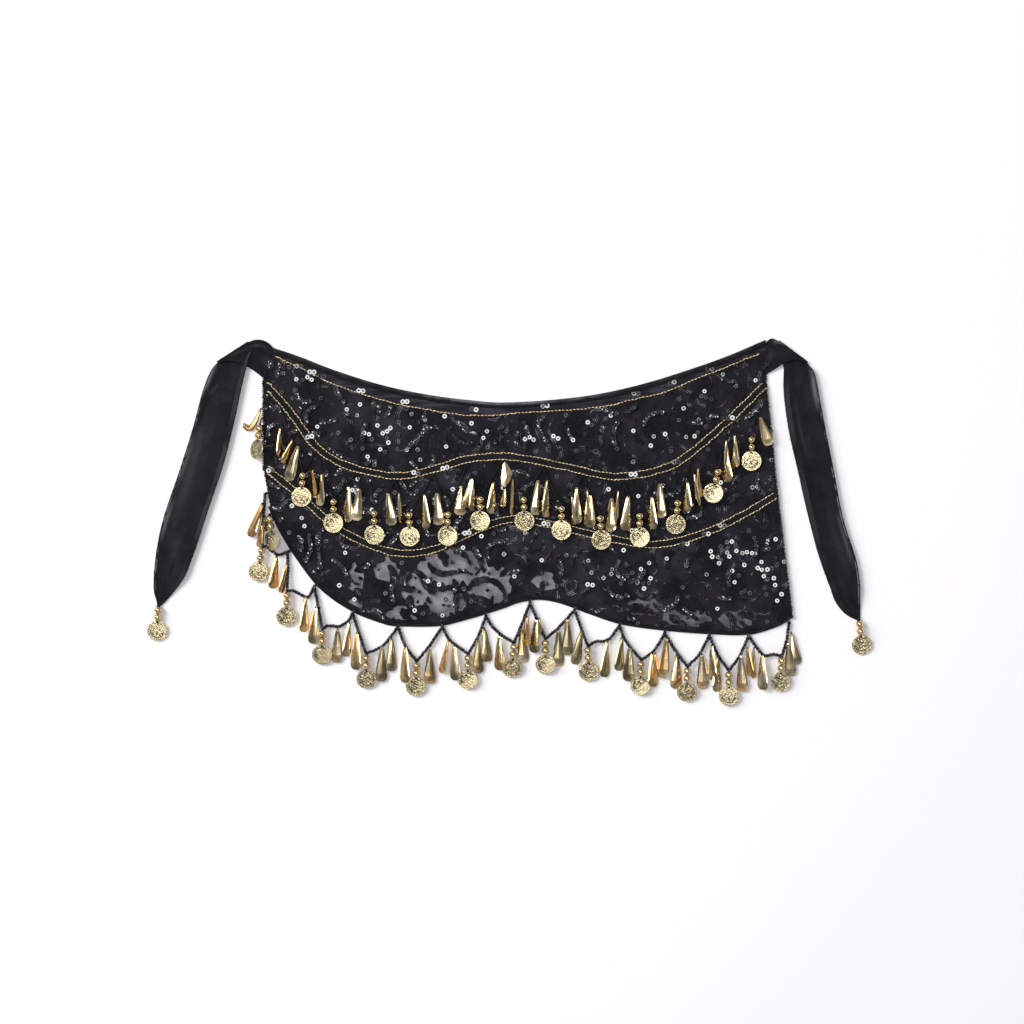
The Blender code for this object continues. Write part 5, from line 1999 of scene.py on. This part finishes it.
def hung_paillettes(table, upper, kind, draw):
    """The paillettes of one tint: x, y, z, pitch, roll, heading, width, length."""
    rows = []
    for k, (x0, y0, x1, y1, seen, warm) in enumerate(table):
        side, jitter, layer = draw.choice((-1, 1)), draw.uniform(-0.10, 0.10), k % 3
        if warm != kind:
            continue
        length = math.hypot(x1 - x0, y1 - y0) + 1.0
        heading = math.atan2(y0 - y1, x0 - x1) - math.pi / 2
        # a narrow one is turned towards its edge
        width = max(seen * 1.12, PAILLETTE_WIDTH) if seen >= 8 else max(seen * 1.45, 7.8)
        turn = math.acos(min(seen * 1.08 / width, 0.995))
        roll = side * (turn + draw.uniform(-0.28, 0.10)) + jitter
        spots = np.array([(x0, y0), (x1, y1), ((x0 + x1) / 2, (y0 + y1) / 2)])
        floor = max(surface(spots)) if upper else FOIL
        pitch = 0.035 + 0.02 * layer
        z = (floor + FOIL + abs(math.sin(roll)) * width / 2 + LAYER_STEP * layer
             + math.sin(pitch) * length)
        rows.append((x0, y0, z, pitch, roll, heading, width, length))
    return np.array(rows)


def flat_paillette():
    """The one with its flat back up."""
    edge = np.array([(-4.5, 60.5), (-1.5, 57), (2.9, 49.5), (0.8, 42), (-4.2, 34.8),
                     (-7.6, 36.2), (-8.6, 44), (-6.8, 58)])
    over = np.column_stack((edge, 3.6 + (2.9 - edge[:, 0]) * 0.22))
    ridge_line = ((-4.4, 57.5, 5.6), (-3.0, 45.0, 5.9))
    count = len(edge)
    top, low = 2 * count, 2 * count + 1
    faces = [tuple(range(count, 2 * count)), (0, 1, top), (1, 2, low, top), (2, 3, low),
             (3, 4, low), (4, 5, low), (5, 6, low), (6, 7, top, low), (7, 0, top)]
    verts = np.concatenate((over, over - (0, 0, FOIL), ridge_line))
    piece = mesh_piece("flat_paillette", verts, faces + wall(0, count, count),
                       ["paillette_flat"], smooth=False)
    recalculate(register_piece(piece, "fringe"))


def hooked_paillette():
    """The one bent into a hook over the left side edge."""
    line = SeamLine([(-248.2, 114.0), (-250, 109.0), (-252.8, 102.5), (-255.6, 97.2),
                     (-258.6, 94.0), (-261.8, 93.6), (-264.4, 96.0), (-265.4, 98.6)])
    halves = np.array([0.6, 1.4, 2.2, 2.6, 3.0, 3.2, 2.6, 0.8])
    heights = np.array([3.2, 3.0, 2.6, 2.2, 1.8, 1.6, 1.6, 1.6])
    shares = line.knots / line.length
    over = np.array([np.column_stack((line.beside(shares, halves * side), heights + up))
                     for side, up in ((1, 0.0), (0.2, 0.5), (-1, 0.2))])
    recalculate(sheet_piece("hooked_paillette", "fringe", [], "paillette_warm", over,
                            over - (0, 0, FOIL)))


class HIPSCARF_OT_paillettes(bpy.types.Operator):
    """Hang the gold drops of both fringes"""
    bl_idname = "hip_scarf.make_paillettes"
    bl_label = "Paillettes"

    def execute(self, context):
        seed = context.scene.hip_scarf_sizes.seed
        tips = []
        for place, table, plain in (("upper", UPPER_PAILLETTES, "paillette"),
                                    ("hem", HEM_PAILLETTES, "paillette_hem")):
            draw = random.Random(seed + len(table))
            for kind, name, finish, nodes in (
                    (0, f"{place}_paillettes", plain, ["fringe_" + place]),
                    (1, f"{place}_paillettes_warm", "paillette_warm", [])):
                rows = hung_paillettes(table, place == "upper", kind, draw)
                cloud = point_cloud(rows[:, :3], rows[:, 3:6], rows[:, [6, 7, 6]])
                grow(name, cloud, placed_shapes(), "fringe", *nodes, finish=finish, flat=True,
                     shape=paillette_shape(), Tilt=0.0, Seed=seed)
                tips.append(rows[:, :3] + (0, 0.2, 0.3))
        tips = np.concatenate(tips)
        grow("paillette_knots", point_cloud(tips, np.zeros(tips.shape), np.ones(tips.shape)),
             placed_shapes(), "fringe", finish="black_thread", shape=spindle(2.0, 1.7, 1.7, 7, 5),
             Tilt=0.5, Seed=seed)
        flat_paillette()
        hooked_paillette()
        return {"FINISHED"}


class HIPSCARF_OT_drops(bpy.types.Operator):
    """Hang every coin with its two beads"""
    bl_idname = "hip_scarf.make_drops"
    bl_label = "Coin drops"

    def execute(self, context):
        for number, (spot, kind) in enumerate(zip(UPPER_DROPS, UPPER_COIN_KINDS), start=1):
            drop(f"upper_{number:02d}", spot, ON_UPPER_FRINGE, kind)
        for number, (spot, kind) in enumerate(zip(HEM_DROPS, HEM_COIN_KINDS), start=1):
            drop(f"hem_{number:02d}", spot, ON_HEM_FRINGE, kind, plate="coin_hem")
        drop("upper_edge", EDGE_DROP, EDGE_DROP_HEIGHT, 2, lean=EDGE_DROP_LEAN)
        drop("hem_corner", CORNER_DROP, ON_HEM_FRINGE, 3, lean=CORNER_DROP_LEAN)
        drop("tie_left", LEFT_TIE_DROP, 0.0, 4)
        drop("tie_right", RIGHT_TIE_DROP, 0.0, 5)
        return {"FINISHED"}


class HIPSCARF_OT_sheets(bpy.types.Operator):
    """State each cloth's cut, and what is sewn on it"""
    bl_idname = "hip_scarf.state_sheets"
    bl_label = "Sheets"

    def execute(self, context):
        def on(*names):
            return [bpy.data.objects[name] for name in names]

        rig.sheet(*on("body_cloth"), flat=(0.207, 0.514), area=0.0715, held="laid",
                 with_pieces=on("waist_trim", "upper_band_cloth", "gold_stitches",
                                "ring_sequins", "chain_sequins", "overlock_stitches",
                                "upper_fringe_threads", "upper_paillettes",
                                "upper_paillettes_warm", "paillette_knots", "flat_paillette",
                                "hooked_paillette"))
        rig.sheet(*on("lower_cloth"), flat=(0.165, 0.528), area=0.0418, held="laid",
                 with_pieces=on("lower_band_cloth", "hem_trim", "hem_fringe_threads",
                                "hem_paillettes", "hem_paillettes_warm"))
        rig.sheet(*on("tie_left_ribbon"), flat=(0.045, 0.33), area=0.0112, held="folded",
                 with_pieces=on("tie_drop_threads"))
        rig.sheet(*on("tie_right_ribbon"), flat=(0.040, 0.32), area=0.0100, held="folded")
        return {"FINISHED"}


OPERATORS = (HIPSCARF_OT_stage, HIPSCARF_OT_panels, HIPSCARF_OT_bands, HIPSCARF_OT_ties,
             HIPSCARF_OT_stitches, HIPSCARF_OT_rings, HIPSCARF_OT_threads,
             HIPSCARF_OT_paillettes, HIPSCARF_OT_drops, HIPSCARF_OT_sheets)


class HIPSCARF_PT_sidebar(bpy.types.Panel):
    """Lists the scarf's pieces and settings"""
    bl_idname = "HIPSCARF_PT_sidebar"
    bl_label = "Hip scarf"
    bl_space_type = "VIEW_3D"
    bl_region_type = "UI"
    bl_category = "Hip scarf"

    def draw(self, context):
        layout = self.layout
        for settings in (context.scene.hip_scarf_sizes, context.scene.hip_scarf_look,
                         context.scene.hip_scarf_studio):
            box = layout.box()
            for key in type(settings).__annotations__:
                box.prop(settings, key)
        for operator in OPERATORS:
            layout.operator(operator.bl_idname)


SETTINGS = {"hip_scarf_sizes": HipScarfSizes, "hip_scarf_look": HipScarfLook,
            "hip_scarf_studio": HipScarfStudio}


def register():
    for group in SETTINGS.values():
        bpy.utils.register_class(group)
    for operator in OPERATORS:
        bpy.utils.register_class(operator)
    bpy.utils.register_class(HIPSCARF_PT_sidebar)
    for key, group in SETTINGS.items():
        setattr(bpy.types.Scene, key, PointerProperty(type=group))


def unregister():
    for key in SETTINGS:
        delattr(bpy.types.Scene, key)
    bpy.utils.unregister_class(HIPSCARF_PT_sidebar)
    for operator in reversed(OPERATORS):
        bpy.utils.unregister_class(operator)
    for group in reversed(list(SETTINGS.values())):
        bpy.utils.unregister_class(group)


def main():
    register()
    for operator in OPERATORS:
        prefix, name = operator.bl_idname.split(".")
        getattr(getattr(bpy.ops, prefix), name)()
    with open("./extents.json", "w") as sizes:
        json.dump({"cad": CAD_BOX, "visual": [list(corner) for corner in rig.bounds()]}, sizes)


if __name__ == "__main__":
    main()
